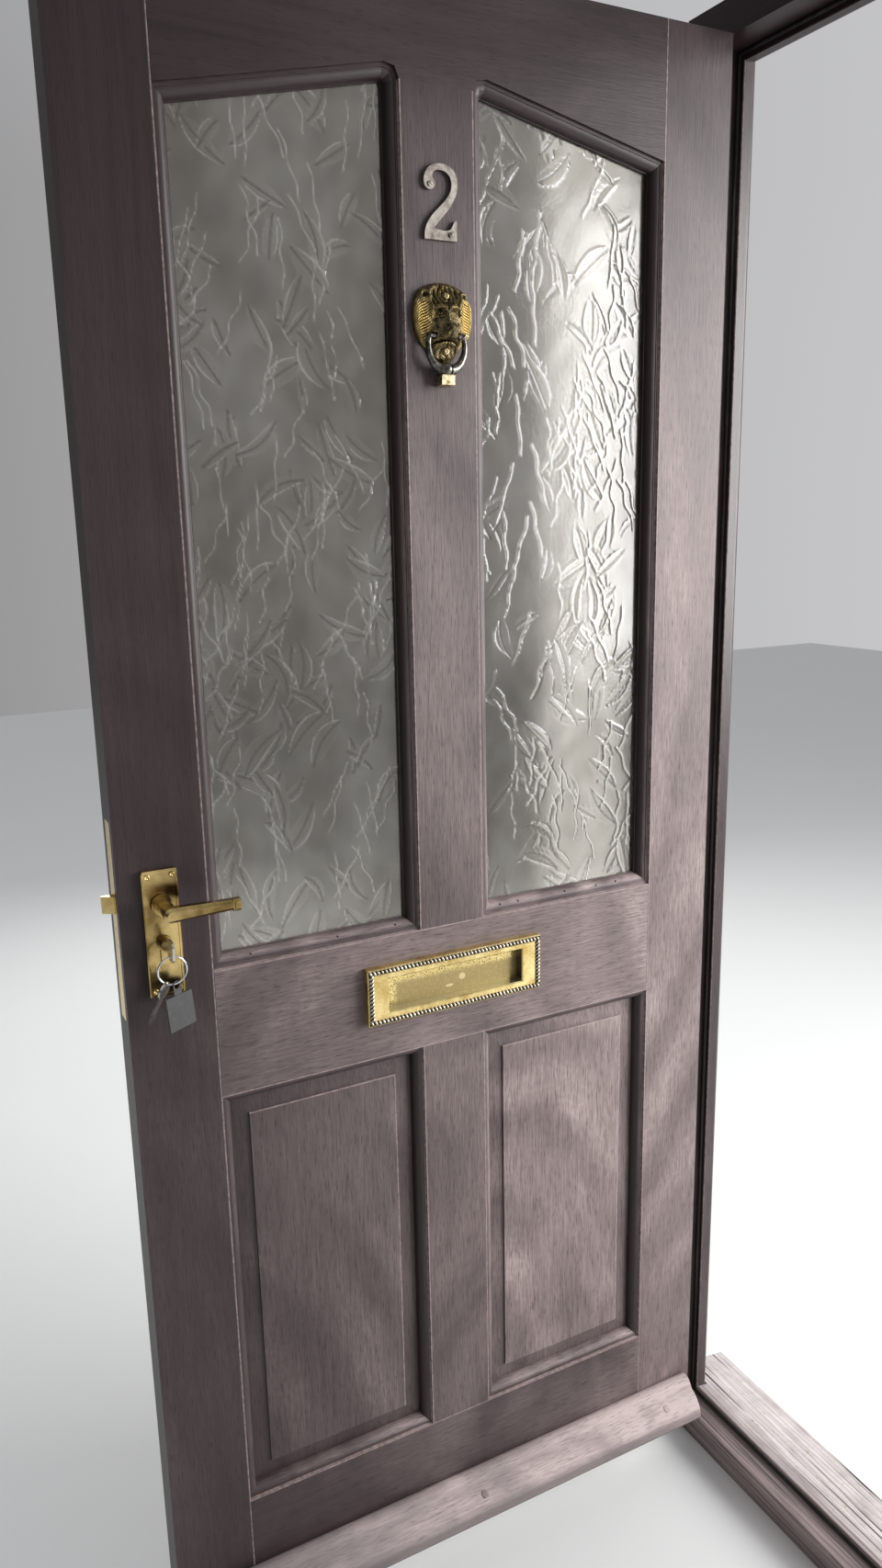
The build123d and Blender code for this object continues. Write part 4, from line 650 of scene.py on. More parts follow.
# The board's high chalk and the pale dust over it are partly painted light, from the sky on its
# upward faces.
board_stain = woodstain("weatherboard_stain", ALONG_Y, 0.75, bloom_and_painted_light_over_face, BOARD_GLOSS)
wear(["weatherboard"], painted_over(board_stain, 0.15, BOARD_DUST_AND_SKYLIGHT))
plug_spots = [on_face("weatherboard", u, z) for u, z in PLUG_PLACES]
plug_stain = woodstain("plug_stain", ALONG_Z, 0.5, bloom_and_painted_light_over_face, BOARD_GLOSS)
studs("board_plugs", plug_spots, plug_stain, "leaf", PLUG_R, PLUG_PROUD)

# The hinges: pressed steel butts with a fixed pin, let into the jamb and the leaf's edge.
# Each plate is held by four countersunk screws.
HINGE_DARK, HINGE_BRIGHT = (0.32, 0.29, 0.24, 1), (0.55, 0.50, 0.42, 1)
HINGE_HEIGHTS = (0.297, 1.087, 1.877)
# Of each screw, how far up from the hinge's middle and how far back from the plate's edge
SCREW_ROWS = ((-0.038, 0.010), (-0.014, 0.018), (0.014, 0.010), (0.038, 0.018))
SCREW_R, SCREW_PROUD = 0.0038, 0.0004
LEAF_PLATE_X = OUTER_X + 0.020
LEAF_PLATE_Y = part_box("hinge_stile")[0][1]
JAMB_PLATE_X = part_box("hinge_jamb")[0][0] + 0.013
JAMB_PLATE_Y = 0.035 - 0.008


def dull_metal(name, dark, bright, roughness, pits=0.35, patch=60, hollow=False):
    """Cast or rolled metal, cloudy with age, pitted by specks; on the lever brass the dark clouds are
    painted dark reflections too. hollow darkens what is marked sunk.
    """
    mat = finish_of(name, roughness, 1.0)
    cloud = noise(mat, patch, 5, 0.6)
    speck = noise(mat, 900, 3, 0.6, at=(4, 4, 1))
    colour = mix(mat, spread(mat, cloud, 0.36, 0.60), dark, bright)
    black = (dark[0] * 0.22, dark[1] * 0.22, dark[2] * 0.22, 1)
    colour = mix(mat, times(mat, spread(mat, speck, 0.58, 0.68), pits), colour, black)
    if hollow:
        sunk = spread(mat, marked(mat, "sunk"), 0.12, 0.55)
        colour = mix(mat, sunk, colour, (0.012, 0.010, 0.008, 1))
    gloss = spread(mat, cloud, 0.3, 0.7, roughness - 0.08, roughness + 0.14)
    return dress(mat, colour, gloss, bump(mat, speck, 0.12, 0.0003))


hinge_steel = dull_metal("hinge_steel", HINGE_DARK, HINGE_BRIGHT, 0.38)
wear(["hinge_frame_leaves", "hinge_door_leaves", "hinge_pins"], hinge_steel)
leaf_screws = [((LEAF_PLATE_X + back, LEAF_PLATE_Y, z + up), (0, -1, 0))
               for z in HINGE_HEIGHTS for up, back in SCREW_ROWS]
jamb_screws = [((JAMB_PLATE_X, JAMB_PLATE_Y - back * 0.9, z + up), (-1, 0, 0))
               for z in HINGE_HEIGHTS for up, back in SCREW_ROWS]
studs("hinge_screws_in_leaf", leaf_screws, hinge_steel, "leaf", SCREW_R,
      SCREW_PROUD, "slot")
studs("hinge_screws_in_jamb", jamb_screws, hinge_steel, "frame", SCREW_R,
      SCREW_PROUD, "slot")

# The lock: a plated steel case let into the lock stile, with a brass forend, latch and deadbolt.
# The keep is a brass plate sunk in the jamb over the holes for the two bolts.
BOLT_BRASS_DARK, BOLT_BRASS_BRIGHT = (0.62, 0.42, 0.15, 1), (0.87, 0.67, 0.32, 1)
CASE_DARK, CASE_BRIGHT = (0.30, 0.30, 0.31, 1), (0.5, 0.5, 0.5, 1)
wear(["keep_plate", "lock_forend", "latch_bolt", "dead_bolt"],
     dull_metal("polished_brass", BOLT_BRASS_DARK, BOLT_BRASS_BRIGHT, 0.2, 0.15))
wear(["lock_case", "follower", "spindle"],
     dull_metal("plated_steel", CASE_DARK, CASE_BRIGHT, 0.35))

# The lever handles: cast brass on long backplates, with the profile cylinder below the lever.
# Hands have kept the levers bright, and the plates have aged to a brown gold; the brass of both is
# clouded darker with painted dark reflections.
# Four round-head screws hold each plate to the stile.
LEVER_AGED_AND_DARK_REFLECTION, LEVER_BRIGHT = (0.22, 0.145, 0.05, 1), (0.80, 0.60, 0.26, 1)
PLATE_SCREW_R = 0.0033
HEAD_SINK, HEAD_PROUD, SHANK = 0.0008, 0.0011, 0.008
STREET, ROOM = (-1, 0, 0), (1, 0, 0)
lever_brass = dull_metal("lever_brass", LEVER_AGED_AND_DARK_REFLECTION, LEVER_BRIGHT, 0.17, 0.25, 15)
wear(["outer_lever", "inner_lever", "outer_backplate", "inner_backplate", "outer_plate_screws",
      "inner_plate_screws", "cylinder_body", "cylinder_plug"], lever_brass)


def loose_parts(name):
    """The vertices of each loose part of a CAD node."""
    cluster = bmesh.new()
    cluster.from_mesh(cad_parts[name].data)
    bmesh.ops.remove_doubles(cluster, verts=cluster.verts, dist=1e-6)
    left = set(cluster.verts)
    parts = []
    while left:
        grown = [left.pop()]
        part = []
        while grown:
            v = grown.pop()
            part.append(v.co.copy())
            for edge in v.link_edges:
                other = edge.other_vert(v)
                if other in left:
                    left.remove(other)
                    grown.append(other)
        parts.append(part)
    cluster.free()
    return parts


def round_screws(node_name, name, outward, head_r, mat, recess):
    """Domed screws where the CAD node has its plain ones."""
    way = Vector(outward)
    spots = []
    for part in loose_parts(node_name):
        tip = max(p.dot(way) for p in part)
        head = [p for p in part if p.dot(way) > tip - 0.0002]
        spots.append((sum(head, Vector()) / len(head) - way * HEAD_SINK, outward))
    made = studs(name, spots, mat, "leaf", head_r, HEAD_PROUD, recess, SHANK)
    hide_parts(node_name)


for side, outward in (("outer", STREET), ("inner", ROOM)):
    round_screws(f"{side}_plate_screws", f"{side}_plate_round_screws", outward, PLATE_SCREW_R,
                 lever_brass, "cross")

# The keys: one in the lock and a spare, both nickel plated, with a square tag of dark plastic.
# The spare and the tag hang on a split ring of steel wire through the bow of the first key.
KEY_DARK, KEY_BRIGHT = (0.50, 0.49, 0.45, 1), (0.76, 0.74, 0.69, 1)
RING_DARK, RING_BRIGHT = (0.6, 0.6, 0.6, 1), (0.80, 0.80, 0.80, 1)
TAG_BLACK, TAG_WORN = (0.012, 0.011, 0.012, 1), (0.050, 0.047, 0.050, 1)
TAG_EDGE = 0.0006
wear(["key", "spare_key"], dull_metal("key_nickel", KEY_DARK, KEY_BRIGHT, 0.22))
wear(["split_ring"], dull_metal("ring_steel", RING_DARK, RING_BRIGHT, 0.16))


def tag_skin():
    mat = finish_of("tag_skin", 0.35)
    cloud = noise(mat, 120, 4, 0.6)
    return dress(mat, mix(mat, cloud, TAG_BLACK, TAG_WORN), normal=bump(mat, cloud, 0.25, 0.0003))


def soften(name, width, segments=2):
    """Rounds a CAD node's sharp edges a little, as casting, polishing or sanding leaves them."""
    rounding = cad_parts[name].modifiers.new("softened_edges", "BEVEL")
    rounding.width = width
    rounding.segments = segments
    rounding.limit_method = "ANGLE"


wear(["key_tag"], tag_skin())
soften("key_tag", TAG_EDGE)

# The letter plate: a brass casting with a rope border, bolted through the lock rail.
# Its flap hangs on a pin behind the slot, pitted round its edge and smooth where letters rub it.
# The raised faces are kept bright.
LETTER_LOW, LETTER_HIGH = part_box("letter_plate")
LETTER_Y = (LETTER_HIGH[1] + LETTER_LOW[1]) / 2
LETTER_Z = LEAF_FOOT + 0.867
LETTER_FACE = OUTER_X - 0.012
LETTER_DARK, LETTER_BRIGHT = (0.56, 0.40, 0.13, 1), (0.86, 0.68, 0.30, 1)
CASTING_DARK, CASTING_BRIGHT = (0.60, 0.43, 0.15, 1), (0.94, 0.76, 0.36, 1)
SLOT_SHADE, LIT_SLOT_FLOOR = (0.030, 0.032, 0.040, 1), (0.56, 0.60, 0.56, 1)
ROPE_BED = (0.012, 0.010, 0.008, 1)
# From the plate's middle: where each band of the casting begins and where it is full
SLOT_FLOOR, SLOT_ROOF, SLOT_SIDE = (-0.0228, -0.0222), (0.030, 0.028), (0.0994, 0.0990)
BED_HIGH, BED_WIDE = (0.0296, 0.0300), (0.1186, 0.1190)
wear(["letter_bolts", "flap_pin"],
     dull_metal("letter_brass", LETTER_DARK, LETTER_BRIGHT, 0.30, 0.85, 34))


def letter_casting():
    """Bright on its face, painted dark as shade within the slot and pale as painted light on the
    slot's floor, and dark under the rope.
    """
    mat = dull_metal("letter_casting", CASTING_DARK, CASTING_BRIGHT, 0.30, 0.85, 34)
    out, _, up = axes_of(mat)
    deep = spread(mat, out, LETTER_FACE + 0.0012, LETTER_FACE + 0.0024)
    above = spread(mat, up, *(LETTER_Z + z for z in SLOT_FLOOR))
    below = spread(mat, up, *(LETTER_Z + z for z in SLOT_ROOF))
    within = spread(mat, away_from_plane(mat, ALONG_Y, LETTER_Y), *SLOT_SIDE)
    inside = times(mat, deep, below, within)
    # Painted shade within the slot.
    painted_over(mat, times(mat, inside, above, 0.9), SLOT_SHADE)
    level_bed = spread(mat, away_from_plane(mat, ALONG_Z, LETTER_Z), *BED_HIGH)
    upright_bed = spread(mat, away_from_plane(mat, ALONG_Y, LETTER_Y), *BED_WIDE)
    proud = spread(mat, out, LETTER_FACE + 0.0001, LETTER_FACE - 0.0003)
    bed = times(mat, maths(mat, "MAXIMUM", level_bed, upright_bed), proud)
    painted_over(mat, times(mat, bed, 0.97), ROPE_BED)
    # Painted light on the slot's floor.
    floor = times(mat, inside, spread(mat, up, LETTER_Z - 0.0205, LETTER_Z - 0.0215))
    return painted_over(mat, times(mat, floor, 0.8), LIT_SLOT_FLOOR)


wear(["letter_plate"], letter_casting())
FLAP_BRIGHT, FLAP_PIT = (0.88, 0.70, 0.30, 1), (0.10, 0.065, 0.02, 1)
FLAP_OLIVE_DARK, FLAP_OLIVE = (0.36, 0.27, 0.12, 1), (0.46, 0.36, 0.17, 1)
FLAP_SPOT = (0.92, 0.78, 0.44, 1)
# Spots rubbed bright: toward the lock and up from the plate's middle, half width, half height
FLAP_SPOTS = ((-0.0147, -0.0025, 0.0048, 0.0045), (0.0044, -0.0115, 0.0060, 0.0020))


def flap_skin():
    mat = finish_of("flap_brass", 0.3, 1.0)
    axes = axes_of(mat)
    ragged = noise(mat, 260, 4, 0.7, at=(1, 5, 2))
    from_top = spread(mat, axes[ALONG_Z], LETTER_Z + 0.017, LETTER_Z - 0.004)
    from_side = spread(mat, axes[ALONG_Y], LETTER_Y + 0.092, LETTER_Y + 0.068)
    inner = maths(mat, "MINIMUM", from_top, from_side)
    rubbed = spread(mat, maths(mat, "ADD", inner, times(mat, ragged, 0.9)), 0.72, 0.98)
    pits = noise(mat, 520, 3, 0.6, at=(7, 5, 2))
    pits = spread(mat, pits, 0.52, 0.60)
    bright = mix(mat, times(mat, pits, 0.85), FLAP_BRIGHT, FLAP_PIT)
    olive = mix(mat, spread(mat, ragged, 0.35, 0.65), FLAP_OLIVE_DARK, FLAP_OLIVE)
    colour = mix(mat, rubbed, bright, olive)
    for toward_lock, up, half_width, half_height in FLAP_SPOTS:
        aside = maths(mat, "SUBTRACT", axes[ALONG_Y], LETTER_Y + toward_lock)
        aside = maths(mat, "DIVIDE", aside, half_width)
        higher = maths(mat, "SUBTRACT", axes[ALONG_Z], LETTER_Z + up)
        higher = maths(mat, "DIVIDE", higher, half_height)
        away = maths(mat, "ADD", times(mat, aside, aside), times(mat, higher, higher))
        away = maths(mat, "ADD", away, times(mat, ragged, 0.8))
        colour = mix(mat, spread(mat, away, 1.55, 1.15, 0.0, 0.6), colour, FLAP_SPOT)
    dents = times(mat, pits, spread(mat, rubbed, 1, 0))
    return dress(mat, colour, spread(mat, rubbed, 0, 1, 0.28, 0.40),
                 bump(mat, dents, -0.5, 0.0005))


wear(["letter_flap"], flap_skin())
ROPE_DARK, ROPE_BRIGHT = (0.36, 0.31, 0.22, 1), (0.62, 0.56, 0.43, 1)
ROPE_R, ROPE_PITCH = 0.0043, 0.0053
ROPE_COLUMNS, ROPE_STEP = 13, 0.0005
ROPE_X = LETTER_FACE + 0.0016
ROPE_HALF_W, ROPE_HALF_H = 0.127 - 0.0047, 0.038 - 0.0047
LEVEL_ROPE, UPRIGHT_ROPE = 0.251, 0.062


def twisted_bar(start, along, out, length, strands):
    """Points and the depth of each for a half-round bar with slanting strands."""
    rows = int(length / ROPE_STEP) + 1
    across = Vector(out).cross(Vector(along))
    points = []
    sunk = []
    for i in range(rows):
        s = i * length / (rows - 1)
        for j in range(ROPE_COLUMNS):
            turn = math.radians(-100 + 200 * j / (ROPE_COLUMNS - 1))
            wave = abs(math.sin(math.pi * (s * strands / length + turn / math.pi * 0.95)))
            depth = 1 - wave ** 0.9
            r = ROPE_R * (1 - 0.42 * depth)
            aside = math.sin(turn) * across + math.cos(turn) * Vector(out)
            points.append(Vector(start) + s * Vector(along) + r * aside)
            sunk.append(depth)
    return points, sunk, grid_faces(rows, ROPE_COLUMNS)


bars = []
for sign in (1, -1):
    level_start = (ROPE_X, LETTER_Y + LEVEL_ROPE / 2, LETTER_Z + sign * ROPE_HALF_H)
    upright_start = (ROPE_X, LETTER_Y + sign * ROPE_HALF_W, LETTER_Z - UPRIGHT_ROPE / 2)
    bars.append((level_start, (0, -1, 0), LEVEL_ROPE))
    bars.append((upright_start, (0, 0, 1), UPRIGHT_ROPE))
rope_points = []
rope_sunk = []
rope_faces = []
for start, along, length in bars:
    more, depth, quads = twisted_bar(start, along, STREET, length, round(length / ROPE_PITCH))
    rope_faces += [tuple(len(rope_points) + i for i in face) for face in quads]
    rope_points += more
    rope_sunk += depth
rope_mat = dull_metal("rope_brass", ROPE_DARK, ROPE_BRIGHT, 0.30, 0.3, 60, True)
rope = new_piece("letter_rope", rope_points, rope_faces, rope_mat, "leaf")
mark(rope, "sunk", rope_sunk)

# The knocker: a lion's head cast in brass, screwed to the muntin through its brow and its chin.
# The striker is a casting of its own, hung on pivots at the corners of the mouth.
# The hair of the mane is raised and rubbed to gold, and the rest has gone a dark olive bronze.
KNOCKER_U = 419
STRIKER_Z = 1654
STRIKER_OUT = 13
# Heights on the lion are from the striker's pivots, in mm
LION_RIM = (
    (0, 58.5), (10, 57.5), (20, 54.5), (29, 48.5), (35, 39), (37.5, 27), (36.8, 14), (33.5, 2),
    (29, -7), (22, -12.5), (17, -20), (10, -26), (0, -28),
)
LION_CENTRE_Z = 15
LION_DEEP = 4
# Each form: how far out it stands, its middle aside and up, half width, half height, squareness
LION_FORMS = {
    "skull": (14, 0, 17, 20, 26, 4),
    "muzzle": (8.5, 0, 3, 11, 9, 2.6),
    "nose": (3.0, 0, 7.5, 6, 3.6, 3),
    "nostrils": (-2.4, 3.4, 6, 1.5, 1.4, 2),
    "whisker_pads": (3.6, 6.5, -0.5, 5.2, 4.6, 2.6),
    "cleft_lip": (-2.2, 0, -0.5, 0.9, 4, 2),
    "eye_sockets": (-5.2, 9.4, 24.2, 4.6, 3.6, 2),
    "eyeballs": (3.6, 9.0, 24.0, 2.5, 1.7, 3),
    "pupils": (-1.3, 9.0, 24.0, 0.8, 0.8, 2),
    "frown": (-2.4, 0, 33, 1.3, 6, 2),
    "hollow_cheeks": (-2.6, 14.5, 12, 2.4, 9, 2),
    "jowls": (4.0, 15.5, 8, 4.0, 7, 2),
    "ears": (7.5, 25, 44, 6.2, 6.6, 3),
    "ear_hollows": (-4.4, 25.5, 43.5, 3.1, 3.8, 2),
}
# The last lock lies across the middle and has no twin
FORELOCKS = (
    ((1.5, 56), (5, 49), (7, 42), (4.5, 35), (3, 30)), ((6, 56.5), (10.5, 50), (12, 42), (9, 34)),
    ((11, 55.5), (16, 49), (17, 42), (14, 36)),
    ((16, 53), (20, 46), (19.5, 38), (17.5, 31), (18.5, 22)),
    ((-2.5, 55), (-1.5, 49), (0.5, 44), (0, 38)),
)
ARM_PATH = ((21.5, 0), (23.5, -11), (20.5, -24), (13.5, -33), (5, -36))
ARM_R, ARM_GROWTH, ARM_PLAY = 2.8, 3.4, 1.3
SOCKET_FLOOR = 9.4
LION_SCREWS = ((43, 13), (-16, 11))
SCREW_SEAT_R = 4.1
LION_TURNS, LION_RINGS = 420, 120


def hump(du, dz, wide, high, power=2):
    return np.exp(-(np.abs(du / wide) ** power + np.abs(dz / high) ** power))


def away_from(u, z, path):
    """Distance from a broken line, and how far along it from 0 to 1."""
    best = np.full(u.shape, 1e9)
    along = np.zeros(u.shape)
    parts = len(path) - 1
    for i in range(parts):
        a, b = np.array(path[i], float), np.array(path[i + 1], float)
        run = b - a
        t = np.clip(((u - a[0]) * run[0] + (z - a[1]) * run[1]) / run.dot(run), 0, 1)
        d = np.hypot(u - a[0] - t * run[0], z - a[1] - t * run[1])
        along = np.where(d < best, (i + t) / parts, along)
        best = np.minimum(best, d)
    return best, along


def lion_face(u, z):
    """How far the casting stands out from the wood, and where it is mane."""
    side = np.abs(u)
    out = np.full(u.shape, float(LION_DEEP))
    for proud, aside, up, wide, high, square in LION_FORMS.values():
        out += proud * hump(side - aside, z - up, wide, high, square)
    bridge = np.exp(-(u / (3.4 + 0.06 * np.clip(z - 8, 0, 30))) ** 2) * hump(0, z - 15, 1, 15, 4)
    mouth = np.exp(-((z + 5.2 + 0.012 * u * u) / 1.25) ** 2) * hump(u, 0, 15, 1, 6)
    brows = hump(side - 9 - 0.25 * (z - 31), z - 31, 6.5, 3.0, 2.4)
    lids = np.exp(-((z - 20.2 + 0.10 * side) / 0.8) ** 2) * hump(side - 9, 0, 5, 1, 4)
    out += 4.2 * bridge - 4.2 * mouth + 4.6 * brows - 1.6 * lids
    mane = hump(side - 29, 0, 9.5, 1, 4) * hump(0, z - 17, 1, 22, 6)
    hair = np.abs(np.sin(math.pi * (z + 0.75 * side + 1.2 * np.sin(side * 0.35)) / 3.1))
    out += mane * (5.5 + 2.3 * hair - 1.3)
    chin = hump(u, z + 15, 15, 12, 4)
    beard = np.abs(np.sin(11 * np.arctan2(u, -(z - 6)) + 0.4 * np.sin(z * 0.6)))
    out += chin * (4.2 + 0.9 * beard)
    twins = [(path, mirrored) for mirrored in (1, -1) for path in FORELOCKS]
    for path, mirrored in twins[:-1]:
        d, along = away_from(u * mirrored, z, path)
        lock = np.exp(-(d / (2.3 - 0.9 * along)) ** 2) * np.clip(along * 8 + 0.4, 0, 1)
        strand = 0.8 + 0.2 * np.cos(d * 4.4)
        out += (5.0 - 1.6 * along) * lock * strand
    out += 0.28 * np.sin(u * 1.9 + z * 0.6) * np.sin(z * 1.7 - u * 0.5)
    return out, mane


OLIVE_DARK, OLIVE = (0.050, 0.038, 0.020, 1), (0.21, 0.165, 0.085, 1)
GOLD_DARK, GOLD = (0.52, 0.37, 0.12, 1), (0.88, 0.68, 0.30, 1)
LION_HOLLOW = (0.018, 0.013, 0.007, 1)


def lion_metal():
    mat = finish_of("lion_bronze", 0.3, 1.0)
    cloud = noise(mat, 170, 5, 0.6)
    pits = noise(mat, 1100, 3, 0.6, at=(4, 4, 1))
    olive = mix(mat, spread(mat, cloud, 0.36, 0.62), OLIVE_DARK, OLIVE)
    gold = mix(mat, spread(mat, cloud, 0.3, 0.6), GOLD_DARK, GOLD)
    colour = mix(mat, marked(mat, "rubbed"), olive, gold)
    colour = mix(mat, spread(mat, marked(mat, "sunk"), 0.05, 0.9), colour, LION_HOLLOW)
    return dress(mat, colour, spread(mat, cloud, 0.3, 0.7, 0.27, 0.46),
                 bump(mat, pits, 0.15, 0.0003))


def lion_reach(turns):
    """How far the rim is from the lion's centre in each direction, its corners eased."""
    rim = np.array(list(LION_RIM) + [(-u, z) for u, z in reversed(LION_RIM[1:-1])], float)
    rim[:, 1] -= LION_CENTRE_Z
    bearing = np.arctan2(rim[:, 0], rim[:, 1]) % (2 * math.pi)
    order = np.argsort(bearing)
    reach = np.interp(turns, bearing[order], np.hypot(rim[:, 0], rim[:, 1])[order],
                      period=2 * math.pi)
    for _ in range(6):
        reach = (np.roll(reach, 1) + 2 * reach + np.roll(reach, -1)) / 4
    return reach


def striker_room(out, u, z):
    """Keeps the casting clear of the striker's arms and of its pivots, with play."""
    arm, along = away_from(np.abs(u), z, ARM_PATH)
    free = ARM_R + ARM_GROWTH * along + ARM_PLAY
    hollow = STRIKER_OUT - np.sqrt(np.maximum(free ** 2 - arm ** 2, 0))
    out = np.where(arm < free, np.minimum(out, hollow), out)
    slack = np.clip((np.abs(z) - 3.0) / 1.2, 0, 1) + np.clip((14 - np.abs(u)) / 1.0, 0, 1)
    return np.where(slack < 1, np.minimum(out, SOCKET_FLOOR + 12 * slack), out)


def blurred(out):
    blur = out.copy()
    for _ in range(14):
        blur[1:-1] = (blur[:-2] + blur[2:] + np.roll(blur, 1, 1)[1:-1]
                      + np.roll(blur, -1, 1)[1:-1]) / 4
    return blur


def cast_lion():
    turns = np.linspace(0, 2 * math.pi, LION_TURNS, endpoint=False)
    reach = lion_reach(turns)
    share = np.linspace(0.004, 1, LION_RINGS)[:, None]
    u = share * reach * np.sin(turns)
    z = share * reach * np.cos(turns) + LION_CENTRE_Z
    out, mane = lion_face(u, z)
    edge = np.clip((1 - share) * reach / 3.0, 0, 1)
    out = out * (0.30 + 0.70 * np.sqrt(1 - (1 - edge) ** 2))
    for height, seat in LION_SCREWS:
        out = np.where(np.hypot(u, z - height) < SCREW_SEAT_R, seat - 0.2, out)
    out = striker_room(out, u, z)
    blur = blurred(out)
    sunk = np.clip((blur - out) / 0.9, 0, 1)
    flecks = np.sin(u * 3.1) * np.sin(z * 2.3) * 0.5 + 0.5
    gold = np.clip(mane * 1.1, 0, 1) * (0.55 + 0.45 * flecks)
    gold = np.maximum(gold, 0.30 * np.clip((out - blur) / 0.8, 0, 1))
    gold *= 1 - 0.8 * hump(u, z - 6, 12, 12, 3)
    points = [on_leaf((KNOCKER_U + a) / 1000, n / 1000, (STRIKER_Z + b) / 1000)
              for a, n, b in zip(u.flat, out.flat, z.flat)]
    points += [on_leaf((KNOCKER_U + a) / 1000, 0, (STRIKER_Z + b) / 1000)
               for a, b in zip(u[-1], z[-1])]
    faces = grid_faces(LION_RINGS + 1, LION_TURNS, close=True)
    faces.append(tuple(range(LION_TURNS))[::-1])
    faces.append(tuple(range(LION_RINGS * LION_TURNS, (LION_RINGS + 1) * LION_TURNS)))
    lion = new_piece("lion_head", points, faces, lion_metal(), "leaf")
    lion.data.polygons[len(lion.data.polygons) - 1].use_smooth = False
    flat = np.zeros(LION_TURNS)
    mark(lion, "sunk", np.concatenate((sunk.reshape(-1), flat)))
    mark(lion, "rubbed", np.concatenate((gold.reshape(-1), flat)))
    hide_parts("knocker_plate")


cast_lion()
STRIKER_GREY_DARK, STRIKER_GREY = (0.060, 0.053, 0.046, 1), (0.22, 0.20, 0.175, 1)
STRIKER_GOLD_DARK, STRIKER_GOLD = (0.46, 0.37, 0.20, 1), (0.72, 0.62, 0.40, 1)
KNOCKER_SCREW_DARK, KNOCKER_SCREW = (0.14, 0.11, 0.055, 1), (0.40, 0.32, 0.18, 1)
KNOCKER_SCREW_R = 0.0035


def striker_metal():
    """Grey where hands have worn the plating, pale gold on the foot that strikes."""
    mat = finish_of("striker_metal", 0.26, 1.0)
    cloud = noise(mat, 150, 4, 0.6)
    patches = spread(mat, cloud, 0.36, 0.62)
    grey = mix(mat, patches, STRIKER_GREY_DARK, STRIKER_GREY)
    gold = mix(mat, patches, STRIKER_GOLD_DARK, STRIKER_GOLD)
    foot = spread(mat, axes_of(mat)[ALONG_Z], LEAF_FOOT + (STRIKER_Z - 41) / 1000,
                  LEAF_FOOT + (STRIKER_Z - 44) / 1000)
    return dress(mat, mix(mat, foot, grey, gold), spread(mat, cloud, 0.3, 0.7, 0.2, 0.36),
                 bump(mat, cloud, 0.1, 0.0004))


wear(["knocker_striker"], striker_metal())
knocker_brass = dull_metal("knocker_screw_brass", KNOCKER_SCREW_DARK, KNOCKER_SCREW, 0.32, 0.3)
round_screws("knocker_screws", "knocker_round_screws", STREET, KNOCKER_SCREW_R, knocker_brass,
             "cross")

# The house number: a 2 cast in pale metal, tarnished to a soft grey, its edges rounded.
# Two small slotted screws hold it to the muntin above the knocker.
NUMERAL_DARK, NUMERAL_PALE = (0.14, 0.122, 0.105, 1), (0.33, 0.298, 0.268, 1)
NUMERAL_SCREW_R = 0.0030
NUMERAL_EDGE = 0.0012
numeral_metal = dull_metal("numeral_metal", NUMERAL_DARK, NUMERAL_PALE, 0.40, 0.4, 60)
wear(["numeral"], numeral_metal)
round_screws("numeral_screws", "numeral_round_screws", STREET, NUMERAL_SCREW_R, numeral_metal,
             "slot")
soften("numeral", NUMERAL_EDGE, 3)

# The studio: a pale floor, a large soft light on the street side and a weak one behind the camera.
# A third stands on the room side, and a narrow one there is seen only through the panes.
# The camera stands at the photograph's place and angle.
FLOOR_WHITE, FLOOR_GREY = (0.80, 0.80, 0.79, 1), (0.78, 0.78, 0.77, 1)
FLOOR_REACH = 9.0
SKY_AHEAD, SKY_BEHIND = (0.56, 0.56, 0.57, 1), (0.065, 0.064, 0.063, 1)
SKY_ABOVE = (0.60, 0.61, 0.64, 1)
EYE = Vector((-0.85284, 1.11038, 1.49565))
LOOK = tuple(math.radians(a) for a in (76.9024, 1.1563, -117.7883))
LENS = 25.952


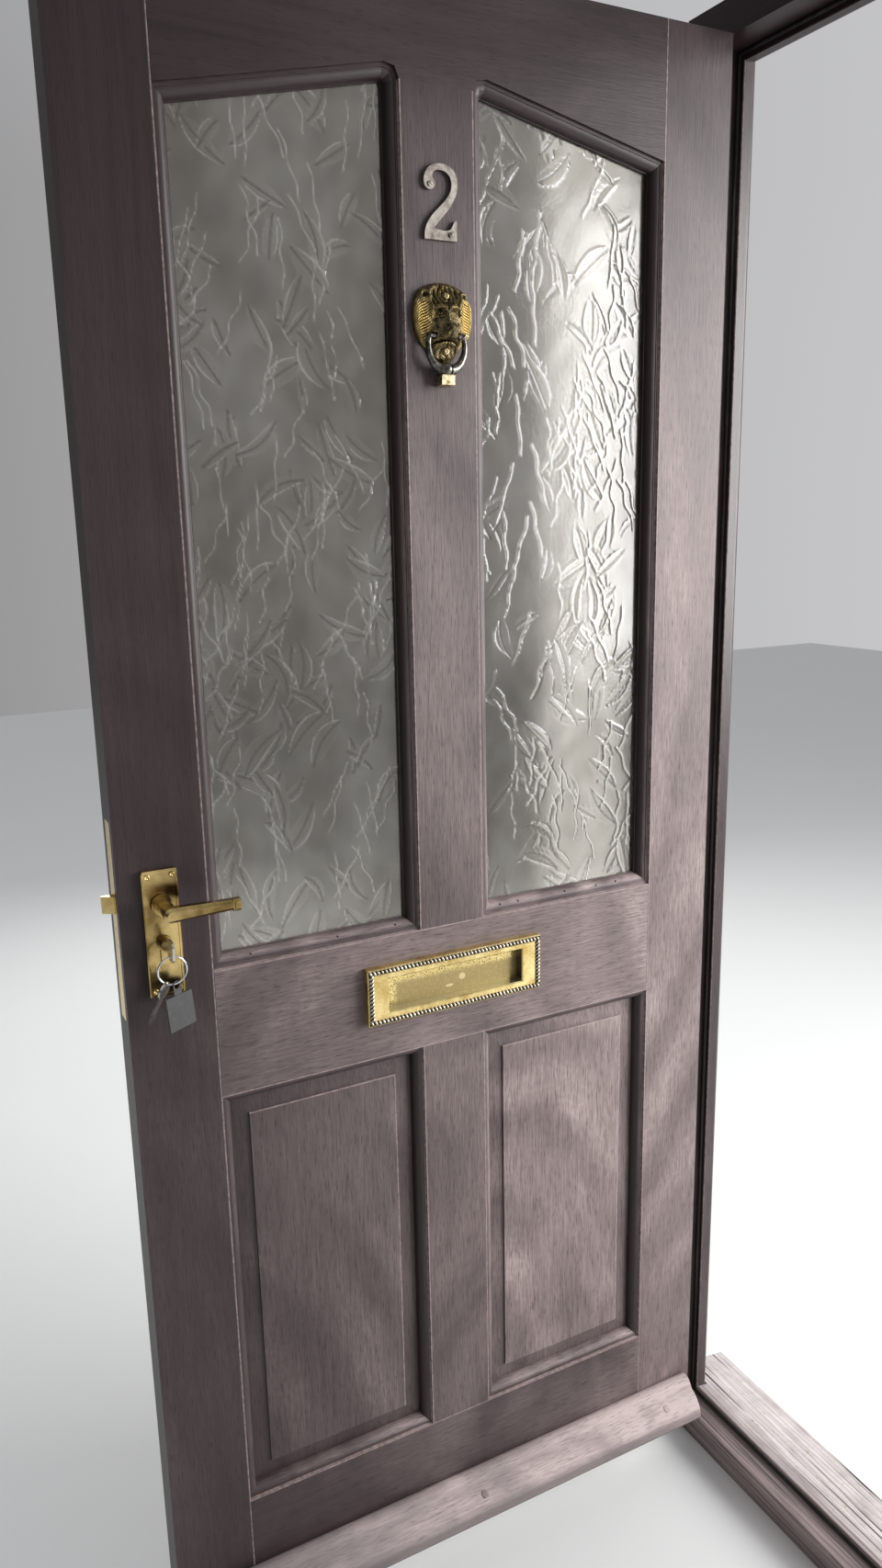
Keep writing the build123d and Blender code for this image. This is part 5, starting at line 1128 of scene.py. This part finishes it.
def floor_sheet():
    mesh = bpy.data.meshes.new("studio_floor")
    turn_round = ((-1, -1), (1, -1), (1, 1), (-1, 1))
    corners = [(x * FLOOR_REACH, y * FLOOR_REACH, 0) for x, y in turn_round]
    mesh.from_pydata(corners, [], [(0, 1, 2, 3)])
    sheet = bpy.data.objects.new("studio_floor", mesh)
    bpy.context.collection.objects.link(sheet)
    mat = finish_of("studio_floor", 0.8)
    cloud = noise(mat, 2, 2, 0.5)
    dress(mat, mix(mat, cloud, FLOOR_GREY, FLOOR_WHITE))
    mesh.materials.append(mat)
    return sheet


floor_sheet()


def soft_light(name, spot, aim, size, power):
    lamp = bpy.data.lights.new(name, "AREA")
    lamp.shape = "RECTANGLE"
    lamp.size, lamp.size_y = size
    lamp.energy = power
    made = bpy.data.objects.new(name, lamp)
    made.location = spot
    made.rotation_euler = (Vector(aim) - Vector(spot)).to_track_quat("-Z", "Y").to_euler()
    bpy.context.collection.objects.link(made)
    return made


street_light = soft_light("street_light", (-1.5, -2.3, 1.75), (0.37, 0.20, 1.15), (2.2, 1.8), 175)
street_light.visible_transmission = False
soft_light("hall_light", (-2.6, 2.8, 2.4), (0.37, 0.5, 1.0), (2.6, 2.6), 5)
room_light = soft_light("room_light", (3.0, -0.3, 2.2), (0.40, 0.45, 1.1), (2.2, 2.2), 42)
room_light.visible_camera = False
room_light.visible_transmission = False
window_light = soft_light("window_light", (1.75, -0.70, 1.43), (0.37, 0.245, 1.47), (0.22, 2.2), 2.5)
window_light.visible_camera = False
window_light.visible_diffuse = False
window_light.visible_glossy = False
world = bpy.data.worlds.new("studio")
bpy.context.scene.world = world
world.use_nodes = True
way = node(world, "ShaderNodeTexCoord").outputs["Generated"]
facing = node(world, "ShaderNodeSeparateXYZ", Vector=way).outputs
sky = mix(world, spread(world, facing["Y"], -0.75, 0.55), SKY_AHEAD, SKY_BEHIND)
sky = mix(world, spread(world, facing["Z"], 0.25, 0.9, 0.0, 0.8), sky, SKY_ABOVE)
join(world, sky, world.node_tree.nodes["Background"].inputs["Color"])

view = bpy.data.cameras.new("view")
view.sensor_width = 36
view.lens = LENS
view.clip_start = 0.02
eye = bpy.data.objects.new("view", view)
eye.location = EYE
eye.rotation_euler = LOOK
bpy.context.collection.objects.link(eye)
bpy.context.scene.camera = eye
bpy.context.scene.view_settings.view_transform = "Standard"
